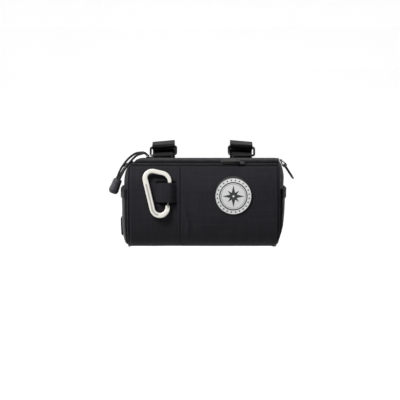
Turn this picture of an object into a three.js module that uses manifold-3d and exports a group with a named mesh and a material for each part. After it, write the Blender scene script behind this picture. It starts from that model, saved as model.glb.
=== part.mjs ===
// A small soft handlebar bag for a bicycle: a cloth barrel with a zipped front pocket, a panel whose strip holds a
// carabiner, a round badge, pockets and D-rings on both ends, and two straps that hang it on the handlebar.
// Millimetres. +X is to the right as the bag is seen from its front, which faces -Y.
// +Z is up. The origin is on the handlebar's axis at the middle of the bag's length.

import * as THREE from "three";
import { mergeVertices } from "three/addons/utils/BufferGeometryUtils.js";
import Module from "manifold-3d";

const wasm = await Module();
wasm.setup();

// The handlebar that the straps close round, which narrows outwards under each strap
const BAR_DIAMETER = 32.4;
const BAR_DIAMETER_OUTSIDE = 27.4;

// The barrel, a rounded square in section, placed by the room between its top back corner and the handlebar
const BAG_LENGTH = 181;
const BAG_HEIGHT = 106.4;
const BAG_DEPTH = 96;
const BAG_ROUNDING = 3;
const BAG_BEARING = 45;
const BAR_CLEARANCE = 4.4;
const CLOTH = 1.5;
const FIT = 0.3;
const ANGLE_STEP = 6;

// The ends: how far they dome, how steeply near the seam, and how far each seam is drawn in along the bag
const END_DOME = {
  left: [
    { height: -1, dome: 6 },
    { height: 1, dome: 6 },
  ],
  right: [
    { height: -0.8, dome: -0.9 },
    { height: -0.65, dome: 1.9 },
    { height: -0.5, dome: 3.4 },
    { height: -0.15, dome: 5 },
    { height: 0.3, dome: 5.4 },
    { height: 0.6, dome: 7 },
  ],
};
const DOME_POWER = 6;
const DRAW_FADE = 8;
const SEAM_DRAW = { left: 18.6, right: 6 };
const SEAM_DRAW_ROWS = {
  left: [
    { angle: 46, share: 0 },
    { angle: 70, share: 0.5 },
    { angle: 86, share: 1 },
    { angle: 100, share: 1 },
    { angle: 120, share: 0.5 },
    { angle: 142, share: 0 },
  ],
  right: [
    { angle: -142, share: 0 },
    { angle: -112, share: 0.7 },
    { angle: -90, share: 1 },
    { angle: -64, share: 0.6 },
    { angle: -36, share: 0 },
  ],
};
const PIPING_DIAMETER = 2;
const PIPING_SIDES = 5;

// Angles round the barrel, in degrees from the front over the top, where its layers begin and end
const MAIN_ZIP_ANGLES = { from: 82, to: 94 };
const LIP_ANGLES = { from: 60, to: 79 };
const FRONT_ZIP_ANGLE = 55.5;
const PANEL_ANGLES = { from: -62, to: 51 };
const ZIP_TAPE_WIDTH = 7.4;
const ZIP_TAPE_THICKNESS = 0.6;
const ZIP_COIL_WIDTH = 3.2;
const ZIP_COIL_HEIGHT = 1.6;
const LIP_FOLD = 1.2;
const LIP_FOLD_WIDTH = 4;
const MAIN_ZIP_ROOM = 3 * FIT;
const MAIN_ZIP_DEPTH = 0.5;

// The front pocket stands off the barrel in its middle and is creased
const PANEL_SEAM_X = -28.2;
const POCKET_LOFT = 2.4;
const CREASES = [
  { x: -0.205, height: -0.2, length: 0.3, width: 0.05, lean: 4, depth: 0.55 },
  { x: -0.225, height: -0.62, length: 0.16, width: 0.05, lean: -14, depth: 0.4 },
  { x: 0.79, height: 0.7, length: 0.13, width: 0.045, lean: 52, depth: 0.5 },
  { x: 0.3, height: -0.55, length: 0.35, width: 0.12, lean: 78, depth: 0.3 },
];

// The strip of the slot panel that is raised over the carabiner's gate, between two slots
const STRIP_ANGLES = { from: 4, to: 28 };
const SLOT_HEIGHT = 2.8;
const STRIP_X = { from: -56.7, to: -32.7 };
const STRIP_PLAY = 1.7;
const STRIP_ARCH = [
  { along: 0, rise: 0 },
  { along: 0.07, rise: 0.42 },
  { along: 0.15, rise: 0.8 },
  { along: 0.24, rise: 0.96 },
  { along: 0.42, rise: 0.98 },
  { along: 0.6, rise: 1 },
  { along: 0.74, rise: 0.92 },
  { along: 0.86, rise: 0.6 },
  { along: 0.94, rise: 0.26 },
  { along: 1, rise: 0 },
];

// The carabiner: circles that its bar is bent round, from the nose over the top to the gate's hinge
const CARABINER_X = -55.7;
const CARABINER_ANGLE = 19;
const CARABINER_DROP = 2.6;
const CARABINER_THICKNESS = 4.4;
const CARABINER_BENDS = [
  { right: 15.1, up: 11.8, radius: 0, turn: 1 },
  { right: 4.2, up: 13.6, radius: 10.8, turn: 1 },
  { right: -5.9, up: 18.1, radius: 8.6, turn: 1 },
  { right: 3.2, up: -17.4, radius: 9.1, turn: 1 },
  { right: 12.6, up: -14.2, radius: 0, turn: 1 },
];
const CARABINER_WIDTHS = [
  { along: 0, width: 4.2 },
  { along: 0.12, width: 5.2 },
  { along: 0.3, width: 5.2 },
  { along: 0.44, width: 6.6 },
  { along: 0.7, width: 6.4 },
  { along: 0.86, width: 6.2 },
  { along: 1, width: 5 },
];
const TONGUE_THICKNESS = 1.8;
const TONGUE_SHARE = 0.93;
const GATE_WIRE = 1.4;
const GATE_TIP_HALF = 0.9;
const GATE_PIVOT = { right: 12.5, up: -16.4 };
const GATE_NOSE_GAP = 0.5;
const CARABINER_PLAY = 0.7;

// The round badge on the front pocket
const PATCH_DIAMETER = 44;
const PATCH_THICKNESS = 1.2;
const PATCH_X = 35.5;
const PATCH_HEIGHT = 10.7;

// The sliders, the front pull and the pull cord with its grip
// What hangs at the left is placed by its distance in from the barrel's left end
const FRONT_SLIDER_X = 44.5;
const MAIN_SLIDER_IN = 24.5;
const SLIDER = { length: 9, height: 1.6, skirt: 1, ear: 1.2, eye: 1, pin: 0.6, pinAlong: -1.6, earSunk: 0.4 };
const PULL = { length: 21, width: 5, thickness: 2.4, neck: 4, neckWidth: 3.2 };
const CORD_DIAMETER = 2.8;
const CORD_STRAIGHT = 3;
const GRIP = { length: 18.5, top: 10.4, bottom: 12.4, rimIn: 0.8, rimDown: 0.9 };
const GRIP_SIDES = 14;
const GRIP_TOP = { in: -12.9, y: -85, z: -24.5 };
const GRIP_LEAN = 22;
const STRAND_SPREAD = 3.6;

// The grip's outline: shares of its length, and of the half width at its foot
const GRIP_PROFILE = [
  { down: 0.62, out: 1 },
  { down: 0.78, out: 1 },
  { down: 0.92, out: 0.86 },
  { down: 1, out: 0.55 },
  { down: 1, out: 0 },
];

// Where the two strands of the pull cord pass, chosen by hand
const STRAND_ROUTES = {
  front: [
    { in: 18.5, y: -59.5, z: 5.6 },
    { in: 14.5, y: -66, z: 5.2 },
    { in: 8.5, y: -73, z: 3 },
    { in: 1.5, y: -79, z: -4 },
    { in: -5.5, y: -83.5, z: -13.5 },
  ],
  back: [
    { in: 18.2, y: -55.8, z: 6 },
    { in: 13, y: -63, z: 6.6 },
    { in: 6.5, y: -70.8, z: 5.2 },
    { in: -2, y: -78, z: -1.5 },
    { in: -9.5, y: -83, z: -12 },
  ],
};

// Straps, the rings that they run through and the short webbing that holds the rings on the bag
const STRAPS_IN = 42;
const STRAPS_OFF_CENTRE = -1.5;
const STRAP_WIDTH = 28;
const STRAP_THICKNESS = 1.5;
const STRAP_SEWN = { from: 192, to: 162 };
const STRAP_END_BEARING = 24;
const RING_WIRE = 2.8;
const RING_ROOM = 0.5;
const RING_PITCH = 13.4;
const RING_BEARING = 142;
const RING_LEAN = 47;
const RING_CORNER = 2.6;
const ANCHOR_SEWN = { from: 97, to: 110 };
const LAYER_GAP = 0.3;

// The D-rings and their webbing on the ends
const DRING_WIRE = 2.8;
const DRING_WIDTH = 24;
const DRING_REACH = 19.6;
const DRING_LEAN = 33;
const DRING_CORNER = 3;
const DRING_TAB_WIDTH = 18.5;
const DRING_TAB_THICKNESS = 1.1;
const DRING_TAB_SHARES = {
  left: { from: 0.9, to: 0.86, eye: 0.8 },
  right: { from: 0.96, to: 0.925, eye: 0.84 },
};
const DRING_TAB_ROOM = 0.8;

// The pockets on the ends, their bound mouths and the webbing tab low on the left end
const END_POCKET = { mouth: 0.36, foot: -0.93, side: 0.93, room: 0.7, bulge: 0.6 };
const HEM_HEIGHT = 11.6;
const HEM_THICKNESS = 1.1;
const SIDE_TAB = { width: 24, top: -0.335, bottom: -0.75, thickness: 1.8 };

const COLOURS = {
  cloth: 0x202225,
  webbing: 0x15161a,
  moulded: 0x2a2b2f,
  metal: 0x1b1c1f,
  carabiner: 0xcfcbbb,
  patch: 0xdfe0dc,
  cord: 0x121315,
};

// Values worked out from the sizes above
const halfHeight = BAG_HEIGHT / 2;
const halfDepth = BAG_DEPTH / 2;
const halfLength = BAG_LENGTH / 2;
const layerBase = FIT;
const layerTop = FIT + CLOTH;
const onLayer = layerTop + FIT;
const bagAway = BAR_DIAMETER / 2 + BAR_CLEARANCE + radiusAt(180 - BAG_BEARING);
const bagY = -bagAway * cosine(BAG_BEARING);
const bagZ = -bagAway * sine(BAG_BEARING);
const gateFootHalf = TONGUE_THICKNESS / 2 + FIT + GATE_WIRE / 2;
const carabinerLift = onLayer + CARABINER_PLAY + Math.max(CARABINER_THICKNESS / 2, gateFootHalf + GATE_WIRE / 2);
const mainZipAngle = (MAIN_ZIP_ANGLES.from + MAIN_ZIP_ANGLES.to) / 2;
const mainZipSink = MAIN_ZIP_DEPTH - CLOTH;
const mainSliderX = MAIN_SLIDER_IN - halfLength;
const frontCoilTop = layerBase + ZIP_COIL_HEIGHT;
const mainCoilTop = mainZipSink + ZIP_COIL_HEIGHT;
const stripRise = carabinerLift + GATE_TIP_HALF + GATE_WIRE / 2 + FIT + STRIP_PLAY - layerBase;

function cosine(degrees) {
  return Math.cos(THREE.MathUtils.degToRad(degrees));
}

function sine(degrees) {
  return Math.sin(THREE.MathUtils.degToRad(degrees));
}

function evenly(count) {
  return Array.from({ length: count + 1 }, (_, i) => i / count);
}

// The value of a table's column at a place between its rows, eased or straight between two rows
function between(rows, key, column, at, eased = false) {
  if (at <= rows[0][key]) return rows[0][column];
  const next = rows.findIndex((row) => row[key] >= at);
  if (next < 0) return rows.at(-1)[column];
  const [low, high] = [rows[next - 1], rows[next]];
  const share = (at - low[key]) / (high[key] - low[key]);
  const eased01 = share * share * (3 - 2 * share);
  return low[column] + (high[column] - low[column]) * (eased ? eased01 : share);
}

// The barrel's outline as a distance from its own axis: |y / depth|^n + |z / height|^n = 1
function radiusAt(angle) {
  const across = Math.abs(cosine(angle) / halfDepth) ** BAG_ROUNDING;
  const upward = Math.abs(sine(angle) / halfHeight) ** BAG_ROUNDING;
  return (across + upward) ** (-1 / BAG_ROUNDING);
}

// A point of the barrel's section, that far outside its cloth, as {y, z} measured from the origin
function sectionPoint(angle, offset) {
  const radius = radiusAt(angle);
  const y = -radius * cosine(angle);
  const z = radius * sine(angle);
  const normal = sectionNormal(angle);
  return { y: bagY + y + normal.y * offset, z: bagZ + z + normal.z * offset };
}

function sectionNormal(angle) {
  const power = BAG_ROUNDING - 1;
  const y = (-Math.sign(cosine(angle)) * Math.abs(cosine(angle) / halfDepth) ** power) / halfDepth;
  const z = (Math.sign(sine(angle)) * Math.abs(sine(angle) / halfHeight) ** power) / halfHeight;
  const size = Math.hypot(y, z);
  return { y: y / size, z: z / size };
}

function barrelPoint(x, angle, offset) {
  const { y, z } = sectionPoint(angle, offset);
  return new THREE.Vector3(x, y, z);
}

// The angle on the front at a height above the barrel's axis
function frontAngle(height) {
  const share = Math.min(Math.abs(height) / halfHeight, 1);
  const forward = halfDepth * (1 - share ** BAG_ROUNDING) ** (1 / BAG_ROUNDING);
  return THREE.MathUtils.radToDeg(Math.atan2(height, forward));
}

// How many degrees a length along the cloth takes at an angle
function degreesFor(length, angle) {
  const a = sectionPoint(angle - 0.5, 0);
  const b = sectionPoint(angle + 0.5, 0);
  return length / Math.hypot(b.y - a.y, b.z - a.z);
}

// How far the seam of an end is drawn in at an angle
function drawn(side, angle) {
  const turned = ((((angle + 180) % 360) + 360) % 360) - 180;
  return SEAM_DRAW[side] * between(SEAM_DRAW_ROWS[side], "angle", "share", turned, true);
}

function seamX(side, angle) {
  const out = halfLength - drawn(side, angle);
  return side === "left" ? -out : out;
}

// Angles from one to the other with the barrel's own steps between them, so that layers bend where it bends
function anglesFrom(from, to) {
  const steps = [];
  for (let a = Math.ceil(from / ANGLE_STEP + 0.05) * ANGLE_STEP; a < to - 0.05 * ANGLE_STEP; a += ANGLE_STEP) {
    steps.push(a);
  }
  return [from, ...steps, to];
}

// Distance of an end panel's face from the middle of the bag, over a point of its section
function endOut(side, y, z) {
  const angle = THREE.MathUtils.radToDeg(Math.atan2(z, -y));
  const share = Math.hypot(y, z) / radiusAt(angle);
  return endFace(side, angle, share, 0);
}

// The face's distance at a share of the way to the seam, for cloth that lies that far inside it
function endFace(side, angle, share, inside) {
  const height = (radiusAt(angle) * share * sine(angle)) / halfHeight;
  const dome = between(END_DOME[side], "height", "dome", height) - inside;
  return halfLength + FIT - drawn(side, angle) * share ** DRAW_FADE + dome * (1 - share ** DOME_POWER);
}

function outward(side) {
  return side === "left" ? -1 : 1;
}

// A point over an end panel, that far outside its cloth along the bag
function onEnd(side, y, z, proud) {
  return new THREE.Vector3(outward(side) * (endOut(side, y, z) + proud), bagY + y, bagZ + z);
}

// Triangles gathered into one closed geometry whose faces point out
class Faces {
  constructor() {
    this.places = [];
  }

  triangle(a, b, c) {
    const near = 1e-5;
    if (a.distanceTo(b) < near || b.distanceTo(c) < near || c.distanceTo(a) < near) return;
    for (const p of [a, b, c]) this.places.push(p.x, p.y, p.z);
  }

  quad(a, b, c, d) {
    this.triangle(a, b, c);
    this.triangle(a, c, d);
  }

  volume() {
    let sum = 0;
    for (let i = 0; i < this.places.length; i += 9) {
      const [a, b, c] = [0, 3, 6].map((k) => new THREE.Vector3().fromArray(this.places, i + k));
      sum += a.dot(b.cross(c));
    }
    return sum / 6;
  }

  geometry() {
    const places = Float32Array.from(this.places);
    if (this.volume() < 0) {
      for (let i = 0; i < places.length; i += 9) {
        const second = places.slice(i + 3, i + 6);
        places.copyWithin(i + 3, i + 6, i + 9);
        places.set(second, i + 6);
      }
    }
    const geometry = new THREE.BufferGeometry();
    geometry.setAttribute("position", new THREE.BufferAttribute(places, 3));
    return finished(geometry);
  }
}

function finished(geometry) {
  geometry.deleteAttribute("normal");
  geometry.deleteAttribute("uv");
  const merged = mergeVertices(geometry, 1e-4);
  merged.computeVertexNormals();
  return merged;
}

// A sheet with a front and a back: place(row, column, layer) gives its points, layer 1 outside and 0 inside.
// Cells that skip() names are left open, and a closed sheet joins its last row to its first.
function sheet({ rows, columns, place, skip = () => false, closed = false }) {
  const faces = new Faces();
  const grid = [0, 1].map((layer) => rows.map((r, i) => columns.map((c, j) => place(r, c, layer, i, j))));
  const rowCells = closed ? rows.length : rows.length - 1;
  const columnCells = columns.length - 1;
  const next = (i) => (i + 1) % rows.length;
  const solid = (i, j) => {
    const wrapped = closed ? (i + rows.length) % rows.length : i;
    return wrapped >= 0 && wrapped < rowCells && j >= 0 && j < columnCells && !skip(wrapped, j);
  };
  const wall = (i1, j1, i2, j2) => {
    faces.quad(grid[0][i1][j1], grid[0][i2][j2], grid[1][i2][j2], grid[1][i1][j1]);
  };
  for (let i = 0; i < rowCells; i++) {
    for (let j = 0; j < columnCells; j++) {
      if (!solid(i, j)) continue;
      const [top, bottom] = [grid[1], grid[0]];
      const n = next(i);
      faces.quad(top[i][j], top[n][j], top[n][j + 1], top[i][j + 1]);
      faces.quad(bottom[i][j + 1], bottom[n][j + 1], bottom[n][j], bottom[i][j]);
      if (!solid(i - 1, j)) wall(i, j + 1, i, j);
      if (!solid(i + 1, j)) wall(n, j, n, j + 1);
      if (!solid(i, j - 1)) wall(i, j, n, j);
      if (!solid(i, j + 1)) wall(n, j + 1, i, j + 1);
    }
  }
  return faces.geometry();
}

// A bar between two or more like outlines: outlines hold flat points, and place() puts each one in space
function loft(outlines, place) {
  const faces = new Faces();
  const rings = outlines.map((outline, k) => outline.map((p) => place(p, k)));
  const count = rings[0].length;
  for (let k = 0; k + 1 < rings.length; k++) {
    for (let i = 0; i < count; i++) {
      const j = (i + 1) % count;
      faces.quad(rings[k][i], rings[k][j], rings[k + 1][j], rings[k + 1][i]);
    }
  }
  const flat = outlines[0].map((p) => new THREE.Vector2(p.a, p.b));
  const turned = THREE.ShapeUtils.area(flat) < 0 ? -1 : 1;
  for (const [i, j, k] of THREE.ShapeUtils.triangulateShape(flat, [])) {
    const [first, last] = [rings[0], rings.at(-1)];
    if (turned > 0) {
      faces.triangle(first[k], first[j], first[i]);
      faces.triangle(last[i], last[j], last[k]);
    } else {
      faces.triangle(first[i], first[j], first[k]);
      faces.triangle(last[k], last[j], last[i]);
    }
  }
  return faces.geometry();
}

// A round wire along a closed flat loop, whose points place() puts in space, with normal the loop's own
function wireLoop(points, place, normal, radius, sides = 6) {
  const faces = new Faces();
  const spots = points.map(place);
  const rings = spots.map((spot, i) => {
    const before = spots[(i + spots.length - 1) % spots.length];
    const after = spots[(i + 1) % spots.length];
    const inPlane = after.clone().sub(before).cross(normal).normalize();
    return Array.from({ length: sides }, (_, k) => {
      const turn = (360 * (k + 0.5)) / sides;
      const away = inPlane.clone().multiplyScalar(cosine(turn) * radius);
      return spot.clone().add(away).addScaledVector(normal, sine(turn) * radius);
    });
  });
  rings.forEach((ring, i) => {
    const other = rings[(i + 1) % rings.length];
    ring.forEach((p, k) => {
      const j = (k + 1) % sides;
      faces.quad(p, ring[j], other[j], other[k]);
    });
  });
  return faces.geometry();
}

// The route of a belt round circles: each stop has a centre {a, b}, a radius and a turn of 1 (left) or -1
function belt(stops, closed = false, step = 20) {
  const legs = [];
  const last = closed ? stops.length : stops.length - 1;
  for (let i = 0; i < last; i++) {
    const [from, to] = [stops[i], stops[(i + 1) % stops.length]];
    const [da, db] = [to.a - from.a, to.b - from.b];
    const lean = (to.turn * to.radius - from.turn * from.radius) / Math.hypot(da, db);
    legs.push(Math.atan2(db, da) - Math.asin(Math.max(-1, Math.min(1, lean))));
  }
  const path = [];
  stops.forEach((stop, i) => {
    const arriving = closed ? legs[(i + legs.length - 1) % legs.length] : legs[Math.max(i - 1, 0)];
    const leaving = legs[Math.min(i, legs.length - 1)];
    let sweep = leaving - arriving;
    while (sweep * stop.turn < -1e-9) sweep += stop.turn * 2 * Math.PI;
    const count = stop.radius > 0 ? Math.max(1, Math.ceil(Math.abs(sweep) / THREE.MathUtils.degToRad(step))) : 0;
    for (let k = 0; k <= count; k++) {
      const heading = arriving + (count ? (sweep * k) / count : 0);
      const reach = stop.turn * stop.radius;
      path.push({ a: stop.a + reach * Math.sin(heading), b: stop.b - reach * Math.cos(heading) });
    }
  });
  return path;
}

// The outline of a band of that thickness along a path
function band(path, thickness) {
  const sides = [1, -1].map((sign) =>
    path.map((p, i) => {
      const before = path[Math.max(i - 1, 0)];
      const after = path[Math.min(i + 1, path.length - 1)];
      const inward = new THREE.Vector2(p.a - before.a, p.b - before.b).normalize();
      const onward = new THREE.Vector2(after.a - p.a, after.b - p.b).normalize();
      const heading = inward.clone().add(onward).normalize();
      const bend = Math.max(0.6, heading.dot(i ? inward : onward));
      const away = (sign * thickness) / 2 / bend;
      return { a: p.a - heading.y * away, b: p.b + heading.x * away };
    }),
  );
  return [...sides[0], ...sides[1].reverse()];
}

function withoutDoubles(path) {
  return path.filter((p, i) => !i || Math.hypot(p.a - path[i - 1].a, p.b - path[i - 1].b) > 0.02);
}

function solidOf(geometry) {
  const merged = mergeVertices(geometry, 1e-4);
  const vertProperties = Float32Array.from(merged.attributes.position.array);
  const triVerts = Uint32Array.from(merged.index.array);
  return new wasm.Manifold(new wasm.Mesh({ numProp: 3, vertProperties, triVerts }));
}

function geometryOf(solid) {
  const mesh = solid.getMesh();
  const geometry = new THREE.BufferGeometry();
  geometry.setAttribute("position", new THREE.BufferAttribute(mesh.vertProperties, 3));
  geometry.setIndex(new THREE.BufferAttribute(mesh.triVerts, 1));
  geometry.computeVertexNormals();
  return geometry;
}

// One mesh of the bag, with the look of its material
const bag = new THREE.Group();

function add(name, geometry, color, roughness = 0.85, metalness = 0) {
  const mesh = new THREE.Mesh(geometry, new THREE.MeshStandardMaterial({ color, roughness, metalness }));
  mesh.name = name;
  bag.add(mesh);
}

// The barrel runs round from the far edge of the main zip's slot to its near edge
function barrel() {
  const rows = anglesFrom(MAIN_ZIP_ANGLES.to, MAIN_ZIP_ANGLES.from + 360);
  return sheet({
    rows,
    columns: evenly(2),
    place: (angle, share, layer) => {
      const x = THREE.MathUtils.lerp(seamX("left", angle), seamX("right", angle), share);
      return barrelPoint(x, angle, layer ? 0 : -CLOTH);
    },
  });
}

// A domed end panel, whose inner face has its radius and its dome smaller by the cloth
function endPanel(side) {
  const rows = anglesFrom(MAIN_ZIP_ANGLES.to, MAIN_ZIP_ANGLES.to + 360).slice(0, -1);
  const shares = [0, 0.45, 0.7, 0.86, 0.95, 1];
  return sheet({
    rows,
    columns: shares,
    closed: true,
    place: (angle, share, layer) => {
      const inside = layer ? 0 : CLOTH;
      const radius = (radiusAt(angle) - inside) * share;
      const x = outward(side) * endFace(side, angle, share, inside);
      return new THREE.Vector3(x, bagY - radius * cosine(angle), bagZ + radius * sine(angle));
    },
  });
}

// The bound seam round an end, on the outside of the join
function piping(side) {
  const faces = new Faces();
  const radius = PIPING_DIAMETER / 2;
  const sides = PIPING_SIDES;
  const angles = anglesFrom(MAIN_ZIP_ANGLES.to, MAIN_ZIP_ANGLES.to + 360).slice(0, -1);
  const rings = angles.map((angle) =>
    Array.from({ length: sides }, (_, k) => {
      const turn = (360 * (k + 0.5)) / sides - 90;
      const x = seamX(side, angle) + (outward(side) * FIT) / 2 + radius * cosine(turn);
      return barrelPoint(x, angle, FIT + radius + radius * sine(turn));
    }),
  );
  rings.forEach((ring, i) => {
    const other = rings[(i + 1) % rings.length];
    ring.forEach((p, k) => faces.quad(p, ring[(k + 1) % sides], other[(k + 1) % sides], other[k]));
  });
  return faces.geometry();
}

// A layer's x at a share of the way between the two end seams, clear of their piping
function alongBag(angle, share) {
  const margin = PIPING_DIAMETER / 2 + 2 * FIT;
  return THREE.MathUtils.lerp(seamX("left", angle) + margin, seamX("right", angle) - margin, share);
}

// The folded lip over the front zip: its lower edge is turned under, so it is thicker there
function zipLip() {
  const foldEnd = LIP_ANGLES.from + degreesFor(LIP_FOLD_WIDTH, LIP_ANGLES.from);
  return sheet({
    rows: anglesFrom(LIP_ANGLES.from, LIP_ANGLES.to),
    columns: evenly(1),
    place: (angle, share, layer) => {
      const fold = angle < foldEnd ? LIP_FOLD : 0;
      return barrelPoint(alongBag(angle, share), angle, layer ? layerTop + fold : layerBase);
    },
  });
}

// Tape and coil of a zip as one rail along the barrel: section corners are lengths across it and heights on it
function zipRail(centre, floor) {
  const half = ZIP_TAPE_WIDTH / 2;
  const coil = ZIP_COIL_WIDTH / 2;
  const corners = [
    [-half, floor],
    [half, floor],
    [half, floor + ZIP_TAPE_THICKNESS],
    [coil, floor + ZIP_TAPE_THICKNESS],
    [coil, floor + ZIP_COIL_HEIGHT],
    [-coil, floor + ZIP_COIL_HEIGHT],
    [-coil, floor + ZIP_TAPE_THICKNESS],
    [-half, floor + ZIP_TAPE_THICKNESS],
  ];
  const outline = corners.map(([a, b]) => ({ a, b }));
  const perLength = degreesFor(1, centre);
  return loft([outline, outline], (p, end) => {
    const angle = centre + p.a * perLength;
    return barrelPoint(alongBag(angle, end), angle, p.b);
  });
}

// The main zip fills its slot, level with the cloth on both sides
function mainZip() {
  const centre = (MAIN_ZIP_ANGLES.from + MAIN_ZIP_ANGLES.to) / 2;
  const half = (MAIN_ZIP_ANGLES.to - MAIN_ZIP_ANGLES.from) / 2 / degreesFor(1, centre) - FIT;
  const coil = ZIP_COIL_WIDTH / 2;
  const top = mainZipSink + ZIP_TAPE_THICKNESS;
  const corners = [
    [-half, -CLOTH],
    [half, -CLOTH],
    [half, top],
    [coil, top],
    [coil, mainCoilTop],
    [-coil, mainCoilTop],
    [-coil, top],
    [-half, top],
  ];
  const outline = corners.map(([a, b]) => ({ a, b }));
  const perLength = degreesFor(1, centre);
  return loft([outline, outline], (p, end) => {
    const angle = centre + p.a * perLength;
    const x = THREE.MathUtils.lerp(seamX("left", angle) + MAIN_ZIP_ROOM, seamX("right", angle) - MAIN_ZIP_ROOM, end);
    return barrelPoint(x, angle, p.b);
  });
}

// The front pocket is slack over its middle and creased: a bump that is 1 in the middle and 0 on its edges
function slack(along, around) {
  return Math.min(1, 4 * along * (1 - along)) * Math.min(1, 5 * around * (1 - around));
}

// Each crease is a shallow groove: a bell across its width and another along its length
function creased(x, angle) {
  const height = sectionPoint(angle, 0).z - bagZ;
  const groove = (row) => {
    const [dx, dz] = [x - row.x * halfLength, height - row.height * halfHeight];
    const along = (dz * cosine(row.lean) + dx * sine(row.lean)) / (row.length * halfHeight);
    const across = (dx * cosine(row.lean) - dz * sine(row.lean)) / (row.width * halfLength);
    return row.depth * POCKET_LOFT * Math.exp(-(across ** 2) - along ** 2);
  };
  return Math.min(0.85 * POCKET_LOFT, CREASES.reduce((sum, row) => sum + groove(row), 0));
}

function frontPocket() {
  const angles = anglesFrom(PANEL_ANGLES.from, PANEL_ANGLES.to);
  const start = PANEL_SEAM_X + FIT;
  return sheet({
    rows: angles,
    columns: evenly(14),
    place: (angle, share, layer) => {
      const x = THREE.MathUtils.lerp(start, alongBag(angle, 1), share);
      const around = (angle - PANEL_ANGLES.from) / (PANEL_ANGLES.to - PANEL_ANGLES.from);
      const stand = slack(share, around) * (POCKET_LOFT - creased(x, angle));
      return barrelPoint(x, angle, (layer ? layerTop : layerBase) + Math.max(0, stand));
    },
  });
}

// The badge lies on the pocket, a little way off its slack
function patch() {
  const rings = [0, 0.55, 0.95, 1];
  const standing = onLayer + POCKET_LOFT;
  return sheet({
    rows: evenly(28).slice(0, -1),
    columns: rings,
    closed: true,
    place: (turn, share, layer) => {
      const reach = (PATCH_DIAMETER / 2) * share;
      const angle = frontAngle(PATCH_HEIGHT + reach * sine(360 * turn));
      const edge = share > 0.97 ? 0.35 : 0;
      return barrelPoint(PATCH_X + reach * cosine(360 * turn), angle, standing + (layer ? PATCH_THICKNESS - edge : 0));
    },
  });
}

// How far the strip of the slot panel is raised at an x
function stripHeight(x) {
  return stripRise * between(STRIP_ARCH, "along", "rise", (x - STRIP_X.from) / (STRIP_X.to - STRIP_X.from));
}

// The panel left of the seam. Its rows of cells just above and below the strip are the open slots.
function slotPanel() {
  const low = STRIP_ANGLES.from - degreesFor(SLOT_HEIGHT, STRIP_ANGLES.from);
  const high = STRIP_ANGLES.to + degreesFor(SLOT_HEIGHT, STRIP_ANGLES.to);
  const strip = anglesFrom(STRIP_ANGLES.from, STRIP_ANGLES.to);
  const rows = [...anglesFrom(PANEL_ANGLES.from, low), ...strip, ...anglesFrom(high, PANEL_ANGLES.to)];
  const arch = STRIP_ARCH.map((row) => THREE.MathUtils.lerp(STRIP_X.from, STRIP_X.to, row.along));
  const columns = [null, ...arch, PANEL_SEAM_X];
  const raised = (i) => rows[i] >= STRIP_ANGLES.from && rows[i] <= STRIP_ANGLES.to;
  const inArch = (j) => j >= 1 && j < arch.length;
  return sheet({
    rows,
    columns,
    skip: (i, j) => inArch(j) && raised(i) !== raised(i + 1),
    place: (angle, x, layer, i) => {
      const height = raised(i) && x !== null ? stripHeight(x) : 0;
      return barrelPoint(x ?? alongBag(angle, 0), angle, (layer ? layerTop : layerBase) + height);
    },
  });
}

// The carabiner lies on the plane that touches the barrel at its angle
const carabinerUp = new THREE.Vector3(0, sectionNormal(CARABINER_ANGLE).z, -sectionNormal(CARABINER_ANGLE).y);
const carabinerOut = new THREE.Vector3(0, sectionNormal(CARABINER_ANGLE).y, sectionNormal(CARABINER_ANGLE).z);

function carabinerPoint(right, up, out) {
  const place = barrelPoint(CARABINER_X + right, CARABINER_ANGLE, carabinerLift + out);
  return place.addScaledVector(carabinerUp, up - CARABINER_DROP);
}

// A bar with rounded edges, thinned at its end to the tongue that the gate's wire goes through
function carabinerFrame() {
  const stops = CARABINER_BENDS.map((row) => ({ a: row.right, b: row.up, radius: row.radius, turn: row.turn }));
  const path = spaced(withoutDoubles(belt(stops)), 3);
  const corner = 0.34;
  const section = [
    [-1, -1 + corner],
    [-1, 1 - corner],
    [-1 + corner, 1],
    [1 - corner, 1],
    [1, 1 - corner],
    [1, -1 + corner],
    [1 - corner, -1],
    [-1 + corner, -1],
  ].map(([a, b]) => ({ a, b }));
  const outlines = path.map(() => section);
  const frame = loft(outlines, (p, k) => {
    const along = k / (path.length - 1);
    const half = between(CARABINER_WIDTHS, "along", "width", along) / 2;
    const thick = (along >= TONGUE_SHARE ? TONGUE_THICKNESS : CARABINER_THICKNESS) / 2;
    const heading = directionAt(path, k);
    const [right, up] = [path[k].a - heading.y * p.a * half, path[k].b + heading.x * p.a * half];
    return carabinerPoint(right, up, p.b * thick);
  });
  const bore = new THREE.CylinderGeometry(GATE_WIRE / 2 + FIT, GATE_WIRE / 2 + FIT, 2 * CARABINER_THICKNESS, 10);
  bore.deleteAttribute("normal");
  bore.deleteAttribute("uv");
  bore.applyQuaternion(new THREE.Quaternion().setFromUnitVectors(new THREE.Vector3(0, 1, 0), carabinerOut));
  const pivot = carabinerPoint(GATE_PIVOT.right, GATE_PIVOT.up, 0);
  bore.translate(pivot.x, pivot.y, pivot.z);
  return geometryOf(solidOf(frame).subtract(solidOf(bore)));
}

function directionAt(path, k) {
  const before = path[Math.max(k - 1, 0)];
  const after = path[Math.min(k + 1, path.length - 1)];
  return new THREE.Vector2(after.a - before.a, after.b - before.b).normalize();
}

// A path with no two points further apart than a step
function spaced(path, step) {
  const out = [path[0]];
  for (let i = 1; i < path.length; i++) {
    const [from, to] = [path[i - 1], path[i]];
    const count = Math.max(1, Math.round(Math.hypot(to.a - from.a, to.b - from.b) / step));
    for (let k = 1; k <= count; k++) {
      out.push({ a: from.a + ((to.a - from.a) * k) / count, b: from.b + ((to.b - from.b) * k) / count });
    }
  }
  return out;
}

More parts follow.
